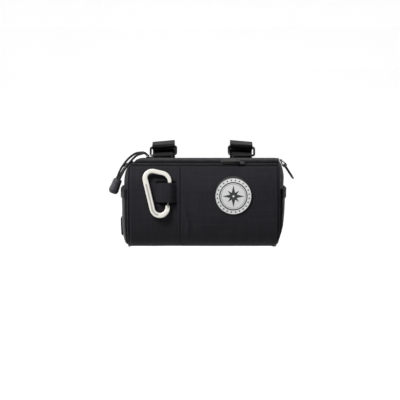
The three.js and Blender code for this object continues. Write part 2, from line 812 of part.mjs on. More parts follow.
// The gate is one closed loop of wire: through the tongue, up both its faces and together at the nose
function carabinerGate() {
  const nose = CARABINER_BENDS[0];
  const [dx, dy] = [nose.right - GATE_PIVOT.right, nose.up - GATE_PIVOT.up];
  const reach = Math.hypot(dx, dy) - GATE_WIRE / 2 - GATE_NOSE_GAP;
  const bend = GATE_TIP_HALF;
  const stops = [
    { a: bend, b: gateFootHalf - bend, radius: bend, turn: -1 },
    { a: reach - bend, b: 0, radius: bend, turn: -1 },
    { a: bend, b: bend - gateFootHalf, radius: bend, turn: -1 },
  ];
  const heading = { right: dx / Math.hypot(dx, dy), up: dy / Math.hypot(dx, dy) };
  const place = (p) => {
    const along = p.a;
    return carabinerPoint(GATE_PIVOT.right + heading.right * along, GATE_PIVOT.up + heading.up * along, p.b);
  };
  const normal = new THREE.Vector3(heading.up, 0, 0).addScaledVector(carabinerUp, -heading.right).normalize();
  const path = withoutDoubles(belt(stops, true, 30));
  return wireLoop(path, place, normal, GATE_WIRE / 2, 6);
}

// A slider: a channel over the coil, with two ears on top that hold a cross pin
function slider(x, angle, floor, earRoom) {
  const half = earRoom / 2 + SLIDER.ear;
  const coil = ZIP_COIL_WIDTH / 2 + FIT;
  const top = floor + FIT + SLIDER.height;
  const outline = flatPoints([
    [-half, floor - SLIDER.skirt],
    [-coil, floor - SLIDER.skirt],
    [-coil, floor + FIT],
    [coil, floor + FIT],
    [coil, floor - SLIDER.skirt],
    [half, floor - SLIDER.skirt],
    [half, top],
    [-half, top],
  ]);
  const frame = localFrame(x, angle);
  const pin = pinPlace(floor);
  const earOutline = belt(
    [
      { a: pin.along, b: pin.out, radius: SLIDER.eye, turn: 1 },
      { a: pin.along - SLIDER.eye, b: top - SLIDER.earSunk, radius: 0, turn: 1 },
      { a: pin.along + SLIDER.eye, b: top - SLIDER.earSunk, radius: 0, turn: 1 },
    ],
    true,
    30,
  );
  const across = (from, to, shape) => {
    return solidOf(loft([shape, shape], (p, end) => frame(p.a, end ? to : from, p.b)));
  };
  const pinOutline = roundAt(pin.along, pin.out, SLIDER.pin, 45);
  let body = solidOf(loft([outline, outline], (p, end) => frame((end - 0.5) * SLIDER.length, p.a, p.b)));
  for (const sign of [-1, 1]) {
    body = body.add(across((sign * earRoom) / 2, sign * half, withoutDoubles(earOutline)));
  }
  return geometryOf(body.add(across(FIT - half, half - FIT, withoutDoubles(pinOutline))));
}

// A circle, as a belt round two stops that lie almost at one place
function roundAt(a, b, radius, step) {
  const apart = 0.01;
  return belt([-apart, apart].map((shift) => ({ a: a + shift, b, radius, turn: 1 })), true, step);
}

// Where a slider's cross pin is, along the zip and out from the barrel
function pinPlace(floor) {
  return { along: SLIDER.pinAlong, out: floor + 2 * FIT + SLIDER.height + PULL.thickness / 2 };
}

function flatPoints(rows) {
  return rows.map(([a, b]) => ({ a, b }));
}

// Straight axes on the barrel at a spot: along it, up round it and out of it
function localFrame(x, angle) {
  const normal = sectionNormal(angle);
  const foot = sectionPoint(angle, 0);
  return (along, up, out) =>
    new THREE.Vector3(
      x + along,
      foot.y + normal.y * out + normal.z * up,
      foot.z + normal.z * out - normal.y * up,
    );
}

// The soft pull lies on the zip: a neck bored for the slider's pin, and a wider tab
function frontPull() {
  const frame = localFrame(FRONT_SLIDER_X, FRONT_ZIP_ANGLE);
  const pin = pinPlace(frontCoilTop);
  const half = PULL.thickness / 2;
  const piece = (from, to, width, radius) => {
    const stops = [
      { a: pin.along - from, b: pin.out, radius, turn: 1 },
      { a: pin.along - to, b: pin.out, radius, turn: 1 },
    ];
    const outline = withoutDoubles(belt(stops, true, 30));
    return solidOf(loft([outline, outline], (p, end) => frame(p.a, (end - 0.5) * width, p.b)));
  };
  const bore = piece(-0.01, 0.01, 2 * PULL.width, SLIDER.pin + FIT);
  const neck = piece(0, PULL.neck, PULL.neckWidth, half);
  return geometryOf(neck.add(piece(PULL.neck, PULL.length, PULL.width, half)).subtract(bore));
}

// A cord as a round tube along a curve through its route
function strand(points) {
  const curve = new THREE.CatmullRomCurve3(points);
  const circle = new THREE.Shape().absarc(0, 0, CORD_DIAMETER / 2, 0, 2 * Math.PI);
  const steps = Math.round(curve.getLength() / (1.4 * CORD_DIAMETER));
  return finished(new THREE.ExtrudeGeometry(circle, { steps, curveSegments: 4, extrudePath: curve, bevelEnabled: false }));
}

// Straight axes of the grip: along its lean, and a strand's end a little above its top
const gripDown = new THREE.Vector3(-sine(GRIP_LEAN), 0, -cosine(GRIP_LEAN));

// The place of a table's row whose first column is a distance in from the barrel's left end
function fromLeftEnd(row) {
  return new THREE.Vector3(row.in - halfLength, row.y, row.z);
}

function strandEnd(sign) {
  const across = new THREE.Vector3(cosine(GRIP_LEAN), 0, -sine(GRIP_LEAN));
  const end = fromLeftEnd(GRIP_TOP).addScaledVector(gripDown, -FIT);
  return end.addScaledVector(across, (sign * STRAND_SPREAD) / 2);
}

// A strand's start beside the other at the main slider's pin
function strandStart(sign) {
  const pin = pinPlace(mainCoilTop);
  const frame = localFrame(mainSliderX, mainZipAngle);
  return frame(pin.along - SLIDER.pin - 2 * FIT, (-sign * (CORD_DIAMETER + FIT)) / 2, pin.out + FIT);
}

function pullCord(name, sign) {
  const end = strandEnd(sign);
  const above = end.clone().addScaledVector(gripDown, -CORD_STRAIGHT);
  return strand([strandStart(sign), ...STRAND_ROUTES[name].map(fromLeftEnd), above, end]);
}

// The grip: a barrel with a flat top and a rounded foot
function pullGrip() {
  const [top, foot] = [GRIP.top / 2, GRIP.bottom / 2];
  const head = [new THREE.Vector2(0, 0), new THREE.Vector2(top - GRIP.rimIn, 0), new THREE.Vector2(top, GRIP.rimDown)];
  const body = GRIP_PROFILE.map((row) => new THREE.Vector2(row.out * foot, row.down * GRIP.length));
  const geometry = new THREE.LatheGeometry([...head, ...body], GRIP_SIDES);
  geometry.applyQuaternion(new THREE.Quaternion().setFromUnitVectors(new THREE.Vector3(0, 1, 0), gripDown));
  const gripTop = fromLeftEnd(GRIP_TOP);
  geometry.translate(gripTop.x, gripTop.y, gripTop.z);
  return outwardFaces(finished(geometry));
}

// The same geometry with its faces turned where they point in
function outwardFaces(geometry) {
  const faces = new Faces();
  const corners = geometry.toNonIndexed().attributes.position;
  for (let i = 0; i < corners.count; i += 3) {
    faces.triangle(...[0, 1, 2].map((k) => new THREE.Vector3().fromBufferAttribute(corners, i + k)));
  }
  return faces.geometry();
}

function strapX(side) {
  return STRAPS_OFF_CENTRE + outward(side) * (halfLength - STRAPS_IN);
}

// Flat places {a: y, b: z} of the ring's two bars where the handlebar has that radius
function ringBars(barRadius) {
  const away = barRadius + FIT + STRAP_THICKNESS + FIT + RING_WIRE / 2 + RING_ROOM;
  const upper = { a: away * cosine(RING_BEARING), b: away * sine(RING_BEARING) };
  const lower = { a: upper.a - RING_PITCH * cosine(RING_LEAN), b: upper.b - RING_PITCH * sine(RING_LEAN) };
  return { upper, lower };
}

function flat(angle, offset) {
  const { y, z } = sectionPoint(angle, offset);
  return { a: y, b: z, radius: 0, turn: 1 };
}

// The strap comes off the back of the bag, goes over the handlebar, round the ring's upper bar and back over itself
function strapOutline(barRadius) {
  const { upper } = ringBars(barRadius);
  const middle = STRAP_THICKNESS / 2;
  const wrap = barRadius + FIT + middle;
  const over = wrap + STRAP_THICKNESS + LAYER_GAP;
  const sewn = anglesFrom(-STRAP_SEWN.from, -STRAP_SEWN.to).map((angle) => flat(-angle, FIT + middle));
  const end = {
    a: (over + 1) * cosine(STRAP_END_BEARING),
    b: (over + 1) * sine(STRAP_END_BEARING),
  };
  const stops = [
    ...sewn,
    { a: 0, b: 0, radius: wrap, turn: 1 },
    { ...upper, radius: RING_WIRE / 2 + FIT + middle, turn: -1 },
    { a: 0, b: 0, radius: over, turn: -1 },
    { ...end, radius: 0, turn: -1 },
  ];
  return band(withoutDoubles(belt(stops, false, 24)), STRAP_THICKNESS);
}

// The strap's and the ring's two sides across the handlebar, the side towards the bag's middle first
function acrossBar(side, width) {
  const centre = strapX(side);
  return [centre - (outward(side) * width) / 2, centre + (outward(side) * width) / 2];
}

// The handlebar's radius at an x under a strap
function barRadiusAt(side, x) {
  const share = (outward(side) * (x - strapX(side))) / STRAP_WIDTH + 0.5;
  return THREE.MathUtils.lerp(BAR_DIAMETER, BAR_DIAMETER_OUTSIDE, share) / 2;
}

function strap(side) {
  const ends = acrossBar(side, STRAP_WIDTH);
  const outlines = ends.map((x) => strapOutline(barRadiusAt(side, x)));
  return loft(outlines, (p, k) => new THREE.Vector3(ends[k], p.a, p.b));
}

// A rectangular ring whose bars follow the narrowing handlebar
function ring(side) {
  const width = STRAP_WIDTH + 2 * RING_ROOM + RING_WIRE;
  const [near, far] = acrossBar(side, width);
  const [inner, outer] = [near, far].map((x) => ringBars(barRadiusAt(side, x)));
  const corner = (bars, x) => new THREE.Vector3(x, bars.a, bars.b);
  const middle = corner(inner.lower, near).add(corner(outer.upper, far)).multiplyScalar(0.5);
  const across = corner(inner.upper, near).sub(corner(outer.upper, far)).normalize();
  const upward = corner(inner.upper, near).sub(corner(inner.lower, near)).normalize();
  const [halfWidth, halfPitch] = [width / 2 - RING_CORNER, RING_PITCH / 2 - RING_CORNER];
  const stops = [
    [1, 1],
    [-1, 1],
    [-1, -1],
    [1, -1],
  ].map(([a, b]) => ({ a: a * halfWidth, b: b * halfPitch, radius: RING_CORNER, turn: 1 }));
  const place = (p) => middle.clone().addScaledVector(across, p.a).addScaledVector(upward, p.b);
  const normal = across.clone().cross(upward).normalize();
  return wireLoop(withoutDoubles(belt(stops, true, 30)), place, normal, RING_WIRE / 2, 8);
}

// The anchor is sewn on the bag, goes round the ring's lower bar and comes back over itself
function anchorOutline(barRadius) {
  const { lower } = ringBars(barRadius);
  const middle = STRAP_THICKNESS / 2;
  const sewn = anglesFrom(ANCHOR_SEWN.from, ANCHOR_SEWN.to);
  const above = FIT + STRAP_THICKNESS + LAYER_GAP + middle;
  const stops = [
    ...sewn.map((angle) => flat(angle, FIT + middle)),
    { ...lower, radius: RING_WIRE / 2 + FIT + middle, turn: 1 },
    ...sewn.toReversed().map((angle) => flat(angle, above)),
  ];
  return band(withoutDoubles(belt(stops, false, 30)), STRAP_THICKNESS);
}

function anchor(side) {
  const ends = acrossBar(side, STRAP_WIDTH - 2 * RING_CORNER);
  const outlines = ends.map((x) => anchorOutline(barRadiusAt(side, x)));
  return loft(outlines, (p, k) => new THREE.Vector3(ends[k], p.a, p.b));
}

// A place {a: out along the bag, b: z} square to the top of an end, over its middle
function overEnd(side, share, proud) {
  const z = share * halfHeight;
  const slope = endOut(side, 0, z + 0.5) - endOut(side, 0, z - 0.5);
  const size = Math.hypot(1, slope);
  return { a: endOut(side, 0, z) + proud / size, b: bagZ + z - (slope * proud) / size, radius: 0, turn: 1 };
}

// The straight bar of a D-ring, as {x, z}, on an end just under its seam
function dringPivot(side) {
  const place = overEnd(side, DRING_TAB_SHARES[side].eye, DRING_TAB_ROOM + FIT + DRING_TAB_THICKNESS + DRING_WIRE / 2);
  return { x: outward(side) * place.a, z: place.b };
}

function dring(side) {
  const pivot = dringPivot(side);
  const half = DRING_WIDTH / 2;
  const stops = [
    { a: DRING_CORNER - half, b: DRING_CORNER, radius: DRING_CORNER, turn: 1 },
    { a: half - DRING_CORNER, b: DRING_CORNER, radius: DRING_CORNER, turn: 1 },
    { a: 0, b: DRING_REACH - half, radius: half, turn: 1 },
  ];
  const [out, down] = [outward(side) * sine(DRING_LEAN), -cosine(DRING_LEAN)];
  const place = (p) => new THREE.Vector3(pivot.x + out * p.b, bagY + p.a, pivot.z + down * p.b);
  const normal = new THREE.Vector3(down, 0, -out);
  return wireLoop(withoutDoubles(belt(stops, true, 24)), place, normal, DRING_WIRE / 2, 8);
}

// The D-ring's webbing comes out under the seam, goes round the bar and back up over itself
function dringTab(side) {
  const pivot = dringPivot(side);
  const middle = DRING_TAB_THICKNESS / 2;
  const { from, to } = DRING_TAB_SHARES[side];
  const above = DRING_TAB_ROOM + DRING_TAB_THICKNESS + LAYER_GAP + middle;
  const stops = [
    overEnd(side, from, DRING_TAB_ROOM + middle),
    overEnd(side, to, DRING_TAB_ROOM + middle),
    { a: Math.abs(pivot.x), b: pivot.z, radius: DRING_WIRE / 2 + FIT + middle, turn: 1 },
    overEnd(side, to, above),
    overEnd(side, from, above),
  ];
  const outline = band(withoutDoubles(belt(stops, false, 30)), DRING_TAB_THICKNESS);
  const ends = [-DRING_TAB_WIDTH / 2, DRING_TAB_WIDTH / 2];
  return loft([outline, outline], (p, k) => new THREE.Vector3(outward(side) * p.a, bagY + ends[k], p.b));
}

// A layer over the lower part of an end: rows are heights as shares, columns run across it
function endLayer(side, heights, columns, proud) {
  return sheet({
    rows: heights,
    columns,
    place: (share, across, layer) => {
      const z = share * halfHeight;
      const half = halfDepth * (1 - Math.abs(share) ** BAG_ROUNDING) ** (1 / BAG_ROUNDING) * END_POCKET.side;
      return onEnd(side, across * half, z, proud(share, across, layer));
    },
  });
}

// How far the pocket's inner face stands off the end: most at the middle of its mouth
function pocketStand(share, across) {
  const rise = (share - END_POCKET.foot) / (END_POCKET.mouth - END_POCKET.foot);
  return END_POCKET.room + END_POCKET.bulge * Math.max(0, rise) ** 0.6 * (1 - across ** 2);
}

const pocketColumns = [-1, -0.86, -0.6, -0.3, 0, 0.3, 0.6, 0.86, 1];

function sidePocket(side) {
  const heights = [END_POCKET.foot, -0.82, -0.62, -0.34, -0.05, END_POCKET.mouth - HEM_HEIGHT / halfHeight, END_POCKET.mouth];
  return endLayer(side, heights, pocketColumns, (share, across, layer) => {
    return pocketStand(share, across) + layer * CLOTH;
  });
}

function hem(side) {
  const foot = END_POCKET.mouth - HEM_HEIGHT / halfHeight;
  return endLayer(side, [foot, END_POCKET.mouth], pocketColumns, (share, across, layer) => {
    return pocketStand(share, across) + CLOTH + FIT + layer * HEM_THICKNESS;
  });
}

// The webbing tab lies over the left pocket
function sideTab() {
  const heights = [SIDE_TAB.bottom, (SIDE_TAB.bottom + SIDE_TAB.top) / 2, SIDE_TAB.top];
  return sheet({
    rows: heights,
    columns: [-0.5, 0, 0.5],
    place: (share, across, layer) => {
      const proud = END_POCKET.room + END_POCKET.bulge + CLOTH + FIT - 0.4 + layer * SIDE_TAB.thickness;
      return onEnd("left", across * SIDE_TAB.width, share * halfHeight, proud);
    },
  });
}

add("barrel", barrel(), COLOURS.cloth);
for (const side of ["left", "right"]) {
  add(`end_${side}`, endPanel(side), COLOURS.cloth);
  add(`piping_${side}`, piping(side), COLOURS.webbing);
  add(`side_pocket_${side}`, sidePocket(side), COLOURS.cloth);
  add(`hem_${side}`, hem(side), COLOURS.webbing);
  add(`dring_tab_${side}`, dringTab(side), COLOURS.webbing);
  add(`dring_${side}`, dring(side), COLOURS.metal, 0.3);
  add(`strap_${side}`, strap(side), COLOURS.webbing, 0.6);
  add(`ring_${side}`, ring(side), COLOURS.metal, 0.3);
  add(`anchor_${side}`, anchor(side), COLOURS.webbing, 0.6);
}
add("side_tab", sideTab(), COLOURS.webbing);
add("zip_lip", zipLip(), COLOURS.cloth);
add("front_zip", zipRail(FRONT_ZIP_ANGLE, layerBase), COLOURS.webbing);
add("main_zip", mainZip(), COLOURS.webbing);
add("front_pocket", frontPocket(), COLOURS.cloth);
add("slot_panel", slotPanel(), COLOURS.cloth);
add("patch", patch(), COLOURS.patch);
add("carabiner_frame", carabinerFrame(), COLOURS.carabiner, 0.35, 0.6);
add("carabiner_gate", carabinerGate(), COLOURS.carabiner, 0.35, 0.6);
add("front_slider", slider(FRONT_SLIDER_X, FRONT_ZIP_ANGLE, frontCoilTop, PULL.neckWidth + 2 * FIT), COLOURS.metal, 0.4);
add("front_pull", frontPull(), COLOURS.moulded, 0.5);
add("main_slider", slider(mainSliderX, mainZipAngle, mainCoilTop, 2 * CORD_DIAMETER + 5 * FIT), COLOURS.metal, 0.4);
add("pull_cord_front", pullCord("front", 1), COLOURS.cord);
add("pull_cord_back", pullCord("back", -1), COLOURS.cord);
add("pull_grip", pullGrip(), COLOURS.moulded, 0.6);

export default bag;
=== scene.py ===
# %% [markdown]
# # A small handlebar bag, dressed
# The part is a soft cloth bag that two straps hang on a round handlebar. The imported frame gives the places
# of its hard pieces and the joints. This script puts cloth, webbing, zips, cords and a painted look around
# them. The frame is loaded first, because every piece made later rides on one of its bodies.

# %% Load the frame
import math

import bpy
import numpy as np
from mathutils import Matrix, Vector


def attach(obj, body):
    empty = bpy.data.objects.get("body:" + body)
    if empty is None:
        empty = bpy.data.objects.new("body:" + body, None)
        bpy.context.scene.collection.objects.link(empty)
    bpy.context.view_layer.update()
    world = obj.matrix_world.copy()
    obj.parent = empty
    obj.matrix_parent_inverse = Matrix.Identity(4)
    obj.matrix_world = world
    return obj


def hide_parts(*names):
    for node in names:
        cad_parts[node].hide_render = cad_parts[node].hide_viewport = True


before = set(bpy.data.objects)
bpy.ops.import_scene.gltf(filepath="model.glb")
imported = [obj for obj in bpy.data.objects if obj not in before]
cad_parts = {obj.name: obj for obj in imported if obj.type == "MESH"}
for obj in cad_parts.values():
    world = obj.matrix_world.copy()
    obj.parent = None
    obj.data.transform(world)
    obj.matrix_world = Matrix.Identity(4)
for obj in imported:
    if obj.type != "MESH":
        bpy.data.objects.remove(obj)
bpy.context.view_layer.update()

# %% [markdown]
# ## Sizes
# The shapes below are worked out in millimetres, as a bag maker would, and become metres when a mesh is
# made. The frame's own numbers are repeated here, since the surfaces must lie where its solids are. The
# origin is on the handlebar's axis, +X runs to the right of the bag's front, which faces -Y, and +Z is up.

# %% The bag's sizes
MM = 0.001
BAG_LENGTH, BAG_HEIGHT, BAG_DEPTH = 181.0, 106.4, 96.0
BAG_ROUNDING = 3
BAG_CENTRE = -54.516
HALF_LENGTH, HALF_HEIGHT, HALF_DEPTH = BAG_LENGTH / 2, BAG_HEIGHT / 2, BAG_DEPTH / 2
CLOTH = 1.5
FIT = 0.3
LAYER_BASE, LAYER_TOP = FIT, FIT + CLOTH
ON_LAYER = LAYER_TOP + FIT
OUTWARD = {"left": -1, "right": 1}
DOME_HEIGHTS = {"left": [-1, 1], "right": [-0.8, -0.65, -0.5, -0.15, 0.3, 0.6]}
DOME_RISES = {"left": [6, 6], "right": [-0.9, 1.9, 3.4, 5, 5.4, 7]}
DOME_POWER = 6
DRAW_FADE = 8
SEAM_DRAW = {"left": 18.6, "right": 6}
SEAM_DRAW_ANGLES = {"left": [46, 70, 86, 100, 120, 142], "right": [-142, -112, -90, -64, -36]}
SEAM_DRAW_SHARES = {"left": [0, 0.5, 1, 1, 0.5, 0], "right": [0, 0.7, 1, 0.6, 0]}
PIPING_DIAMETER = 2.0
MAIN_ZIP_ANGLES = (82, 94)
LIP_ANGLES = (60, 79)
FRONT_ZIP_ANGLE = 55.5
PANEL_ANGLES = (-62, 51)
PANEL_SEAM_X = -28.2
print("bag:", BAG_LENGTH, "x", BAG_DEPTH, "x", BAG_HEIGHT, "mm")

# %% [markdown]
# ## The section that everything follows
# The barrel's outline is a superellipse: |y / depth|^3 + |z / height|^3 = 1. An angle of 0 looks to the
# front and 90 to the top. Every layer of cloth is that outline pushed outwards along its normal, so one
# function places the barrel, the pockets, the zips and the stitches. Arrays go in and out, and no loop
# visits single points.


# %% The section's formulas
def cosine(degrees):
    """The cosine of degrees."""
    return np.cos(np.radians(degrees))


def sine(degrees):
    """The sine of degrees."""
    return np.sin(np.radians(degrees))


def ease(t):
    """A smooth step from 0 to 1: 3t^2 - 2t^3, flat at both ends."""
    t = np.clip(t, 0, 1)
    return t * t * (3 - 2 * t)


def bell(value, middle, width):
    """A bell curve of height 1: exp(-((value - middle) / width)^2)."""
    return np.exp(-(((value - middle) / width) ** 2))


def within(value, low, high):
    """How far a value is inside its limits, from the nearer one."""
    return np.minimum(value - low, high - value)


def radius_at(angle):
    """Distance from the barrel's axis to its cloth: (|cos / depth|^n + |sin / height|^n)^(-1/n)."""
    across = np.abs(cosine(angle) / HALF_DEPTH) ** BAG_ROUNDING
    upward = np.abs(sine(angle) / HALF_HEIGHT) ** BAG_ROUNDING
    return (across + upward) ** (-1 / BAG_ROUNDING)


def section_normal(angle):
    """The outline's unit normal as (y, z): the gradient of the superellipse, scaled to length one."""
    power = BAG_ROUNDING - 1
    y = -np.sign(cosine(angle)) * np.abs(cosine(angle) / HALF_DEPTH) ** power / HALF_DEPTH
    z = np.sign(sine(angle)) * np.abs(sine(angle) / HALF_HEIGHT) ** power / HALF_HEIGHT
    size = np.hypot(y, z)
    return y / size, z / size


def barrel_point(x, angle, offset=0.0):
    """The point at x along the bag and an angle round it, pushed outwards by an offset."""
    x, angle, offset = np.broadcast_arrays(x, np.asarray(angle, float), offset)
    radius = radius_at(angle)
    out_y, out_z = section_normal(angle)
    y = BAG_CENTRE - radius * cosine(angle) + out_y * offset
    z = BAG_CENTRE + radius * sine(angle) + out_z * offset
    return np.stack([x, y, z], -1)


def degrees_for(length, angle):
    """How many degrees a length of cloth takes at an angle, from the chord of one degree there."""
    return length / np.linalg.norm(barrel_point(0, angle + 0.5) - barrel_point(0, angle - 0.5))


def eased_between(at, places, values):
    """A table's value at each place, with a smooth step between its rows."""
    places, values = np.asarray(places, float), np.asarray(values, float)
    row = np.clip(np.searchsorted(places, at) - 1, 0, len(places) - 2)
    share = (at - places[row]) / (places[row + 1] - places[row])
    return values[row] + (values[row + 1] - values[row]) * ease(share)


def drawn(side, angle):
    """How far the seam of an end is drawn in towards the middle at an angle."""
    turned = (np.asarray(angle, float) + 180) % 360 - 180
    return SEAM_DRAW[side] * eased_between(turned, SEAM_DRAW_ANGLES[side], SEAM_DRAW_SHARES[side])


def seam_x(side, angle):
    """Where an end's seam lies along the bag at an angle."""
    return OUTWARD[side] * (HALF_LENGTH - drawn(side, angle))


def along_bag(angle, share):
    """A layer's x at a share of the way between the two end seams, clear of their piping."""
    margin = PIPING_DIAMETER / 2 + 2 * FIT
    left, right = seam_x("left", angle) + margin, seam_x("right", angle) - margin
    return left + (right - left) * share


def end_face(side, angle, share, inside=0.0):
    """An end's distance from the bag's middle: its seam at share 1, and a dome of (1 - share^6) inside it.

    The dome's rise follows a table of heights, because the end is slack below and full above.
    """
    height = radius_at(angle) * share * sine(angle) / HALF_HEIGHT
    dome = np.interp(height, DOME_HEIGHTS[side], DOME_RISES[side]) - inside
    return HALF_LENGTH + FIT - drawn(side, angle) * share**DRAW_FADE + dome * (1 - share**DOME_POWER)


def on_end(side, y, z, proud):
    """The point over an end panel at y and z from the barrel's axis, that far outside its cloth."""
    angle = np.degrees(np.arctan2(z, -y))
    share = np.hypot(y, z) / radius_at(angle)
    x = OUTWARD[side] * (end_face(side, angle, share) + proud)
    return np.stack(np.broadcast_arrays(x, BAG_CENTRE + y, BAG_CENTRE + z), -1)


print("top of the barrel, mm:", barrel_point(0, 90).round(2))

# %% [markdown]
# ## From arrays to meshes
# A sheet of cloth is two grids of points, the outside and the inside, and a rim of faces that joins them.
# Both grids are made from the same rows and columns, so the walls close by themselves. Lengths along the
# grid become the UV map, in metres, and the weave in the materials reads that map, so threads follow the
# cloth.


# %% Helpers that make meshes
def mesh_piece(name, places, faces, uvs=None, body="bag", slot="cloth", replaced=()):
    """Places in millimetres and arrays of triangles or quads become a piece that rides on a body."""
    mesh = bpy.data.meshes.new(name)
    places = np.asarray(places, float).reshape(-1, 3)
    sizes = [np.full(len(block), block.shape[1]) for block in faces]
    starts = np.concatenate([[0], np.cumsum(np.concatenate(sizes))[:-1]])
    corners = np.concatenate([block.ravel() for block in faces])
    mesh.vertices.add(len(places))
    mesh.vertices.foreach_set("co", (places * MM).ravel())
    mesh.loops.add(len(corners))
    mesh.loops.foreach_set("vertex_index", corners.astype(np.int32))
    mesh.polygons.add(len(starts))
    mesh.polygons.foreach_set("loop_start", starts.astype(np.int32))
    if uvs is not None:
        layer = mesh.uv_layers.new(name="UVMap")
        layer.data.foreach_set("uv", (np.asarray(uvs, float).reshape(-1, 2) * MM)[corners].ravel())
    mesh.update(calc_edges=True)
    mesh.validate()
    mesh.polygons.foreach_set("use_smooth", np.ones(len(mesh.polygons), bool))
    piece = bpy.data.objects.new(name, mesh)
    bpy.context.scene.collection.objects.link(piece)
    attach(piece, body)
    if replaced:
        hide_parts(*replaced)
    return piece


def grid_faces(rows, columns, close_rows=False, close_columns=False):
    """The quads of a grid, row by row: each joins a point to its right, upper right and upper ones."""
    i = np.arange(rows if close_rows else rows - 1)[:, None]
    j = np.arange(columns if close_columns else columns - 1)[None, :]
    up, right = (i + 1) % rows, (j + 1) % columns
    cells = [i * columns + j, i * columns + right, up * columns + right, up * columns + j]
    return np.stack(np.broadcast_arrays(*cells), -1).reshape(-1, 4)


def pointing_out(places, faces):
    """The same faces, turned over if the volume in them, the sum of a . (b x c), is below nothing."""
    places = places.reshape(-1, 3) - places.reshape(-1, 3).mean(0)
    volume = 0.0
    for block in faces:
        for k in range(1, block.shape[1] - 1):
            a, b, c = places[block[:, 0]], places[block[:, k]], places[block[:, k + 1]]
            volume += (a * np.cross(b, c)).sum()
    return faces if volume > 0 else [block[:, ::-1] for block in faces]


def lengths_along(path):
    """The length of a route up to each of its points."""
    return np.concatenate([[0], np.cumsum(np.linalg.norm(np.diff(path, axis=0), axis=1))])


def grid_lengths(places):
    """Lengths along the rows and the columns of a grid of points, measured through its middle."""
    rows, columns = places.shape[:2]
    across, along = lengths_along(places[rows // 2]), lengths_along(places[:, columns // 2])
    return np.stack(np.meshgrid(across, along), -1)


def cloth(name, outer, inner, close_rows=False, close_columns=False, skip=None, **options):
    """A closed sheet between two grids of points. Cells under the mask skip stay open and get walls."""
    rows, columns = outer.shape[:2]
    count = rows * columns
    top = grid_faces(rows, columns, close_rows, close_columns)
    if skip is not None:
        top = top[~skip.ravel()]
    bottom = top[:, ::-1] + count
    edges = np.concatenate([top[:, [k, (k + 1) % 4]] for k in range(4)])
    keys = edges[:, 0] * count + edges[:, 1]
    rim = edges[~np.isin(keys, edges[:, 1] * count + edges[:, 0])]
    walls = np.stack([rim[:, 1], rim[:, 0], rim[:, 0] + count, rim[:, 1] + count], -1)
    places = np.concatenate([outer.reshape(-1, 3), inner.reshape(-1, 3)])
    flat = grid_lengths(outer).reshape(-1, 2)
    faces = pointing_out(places, [top, bottom, walls])
    return mesh_piece(name, places, faces, np.concatenate([flat, flat]), **options)


def capped_faces(rows, columns):
    """The quads of a tube's skin, and two fans round the points that follow its grid, one for each end."""
    j, last, ends = np.arange(columns), (rows - 1) * columns, rows * columns
    right = (j + 1) % columns
    low, high = (right, j, 0 * j + ends), (last + j, last + right, 0 * j + ends + 1)
    return [grid_faces(rows, columns, False, True), np.stack(low, -1), np.stack(high, -1)]


def tube(name, rings, closed=False, **options):
    """A skin over rings of points, one row each, with a fan over both ends unless the tube is closed."""
    rows, columns = rings.shape[:2]
    flat = grid_lengths(np.concatenate([rings, rings[:, :1]], 1))[:, :-1].reshape(-1, 2)
    places, faces = rings.reshape(-1, 3), [grid_faces(rows, columns, closed, True)]
    if not closed:
        places = np.concatenate([places, rings[[0, -1]].mean(1)])
        flat = np.concatenate([flat, flat[[0, -1]]])
        faces = capped_faces(rows, columns)
    return mesh_piece(name, places, pointing_out(places, faces), flat, **options)


print("helpers ready")

# %% [markdown]
# ## Camera, floor and light
# The bag was photographed from straight ahead with a long lens, a little above it. The floor is one pale
# sheet that bends up behind the object, as in a photographer's studio, so no horizon shows. The bag hangs
# in the air, as on its handlebar, so the floor lies well below it. A large soft lamp stands to the upper
# left, with white light all round, which is what gives black cloth its pale edges.

# %% The camera
PICTURE_WIDTH = 36.0
LENS = 165.0
CAMERA_DISTANCE = 2302.0
CAMERA_ELEVATION = 4.0
AIM = np.array([-4.5, 0.0, -55.8])

camera_data = bpy.data.cameras.new("camera")
camera_data.lens = LENS
camera_data.sensor_width = PICTURE_WIDTH
camera_data.sensor_fit = "HORIZONTAL"
camera_data.clip_end = 50.0
camera = bpy.data.objects.new("camera", camera_data)
away = np.array([0.0, -cosine(CAMERA_ELEVATION), sine(CAMERA_ELEVATION)])
camera.location = (AIM + away * CAMERA_DISTANCE) * MM
camera.rotation_euler = (math.radians(90 - CAMERA_ELEVATION), 0, 0)
bpy.context.scene.collection.objects.link(camera)
bpy.context.scene.camera = camera
bpy.context.scene.view_settings.view_transform = "Standard"
print("camera", tuple(round(v, 3) for v in camera.location))

# %% The floor, one sheet: flat to the front and rising behind in a quarter circle
FLOOR_HEIGHT, FLOOR_BEND, FLOOR_BACK, FLOOR_REACH, FLOOR_WALL = -420.0, 1500.0, 1200.0, 4000.0, 2500.0


def backdrop():
    """A profile in y and z, flat, then a quarter circle, then upright, carried along x."""
    turn = np.linspace(0, 90, 19)
    bend_y = FLOOR_BACK + FLOOR_BEND * sine(turn)
    bend_z = FLOOR_HEIGHT + FLOOR_BEND * (1 - cosine(turn))
    y = np.concatenate([[-FLOOR_REACH], bend_y, [bend_y[-1]]])
    z = np.concatenate([[FLOOR_HEIGHT], bend_z, [bend_z[-1] + FLOOR_WALL]])
    x = np.linspace(-FLOOR_REACH, FLOOR_REACH, 5)
    places = np.stack(np.broadcast_arrays(x, y[:, None], z[:, None]), -1)
    mesh = bpy.data.meshes.new("floor")
    mesh.from_pydata((places.reshape(-1, 3) * MM).tolist(), [], grid_faces(*places.shape[:2]).tolist())
    floor = bpy.data.objects.new("floor", mesh)
    bpy.context.scene.collection.objects.link(floor)
    return floor


floor = backdrop()
print("floor:", len(floor.data.polygons), "faces")


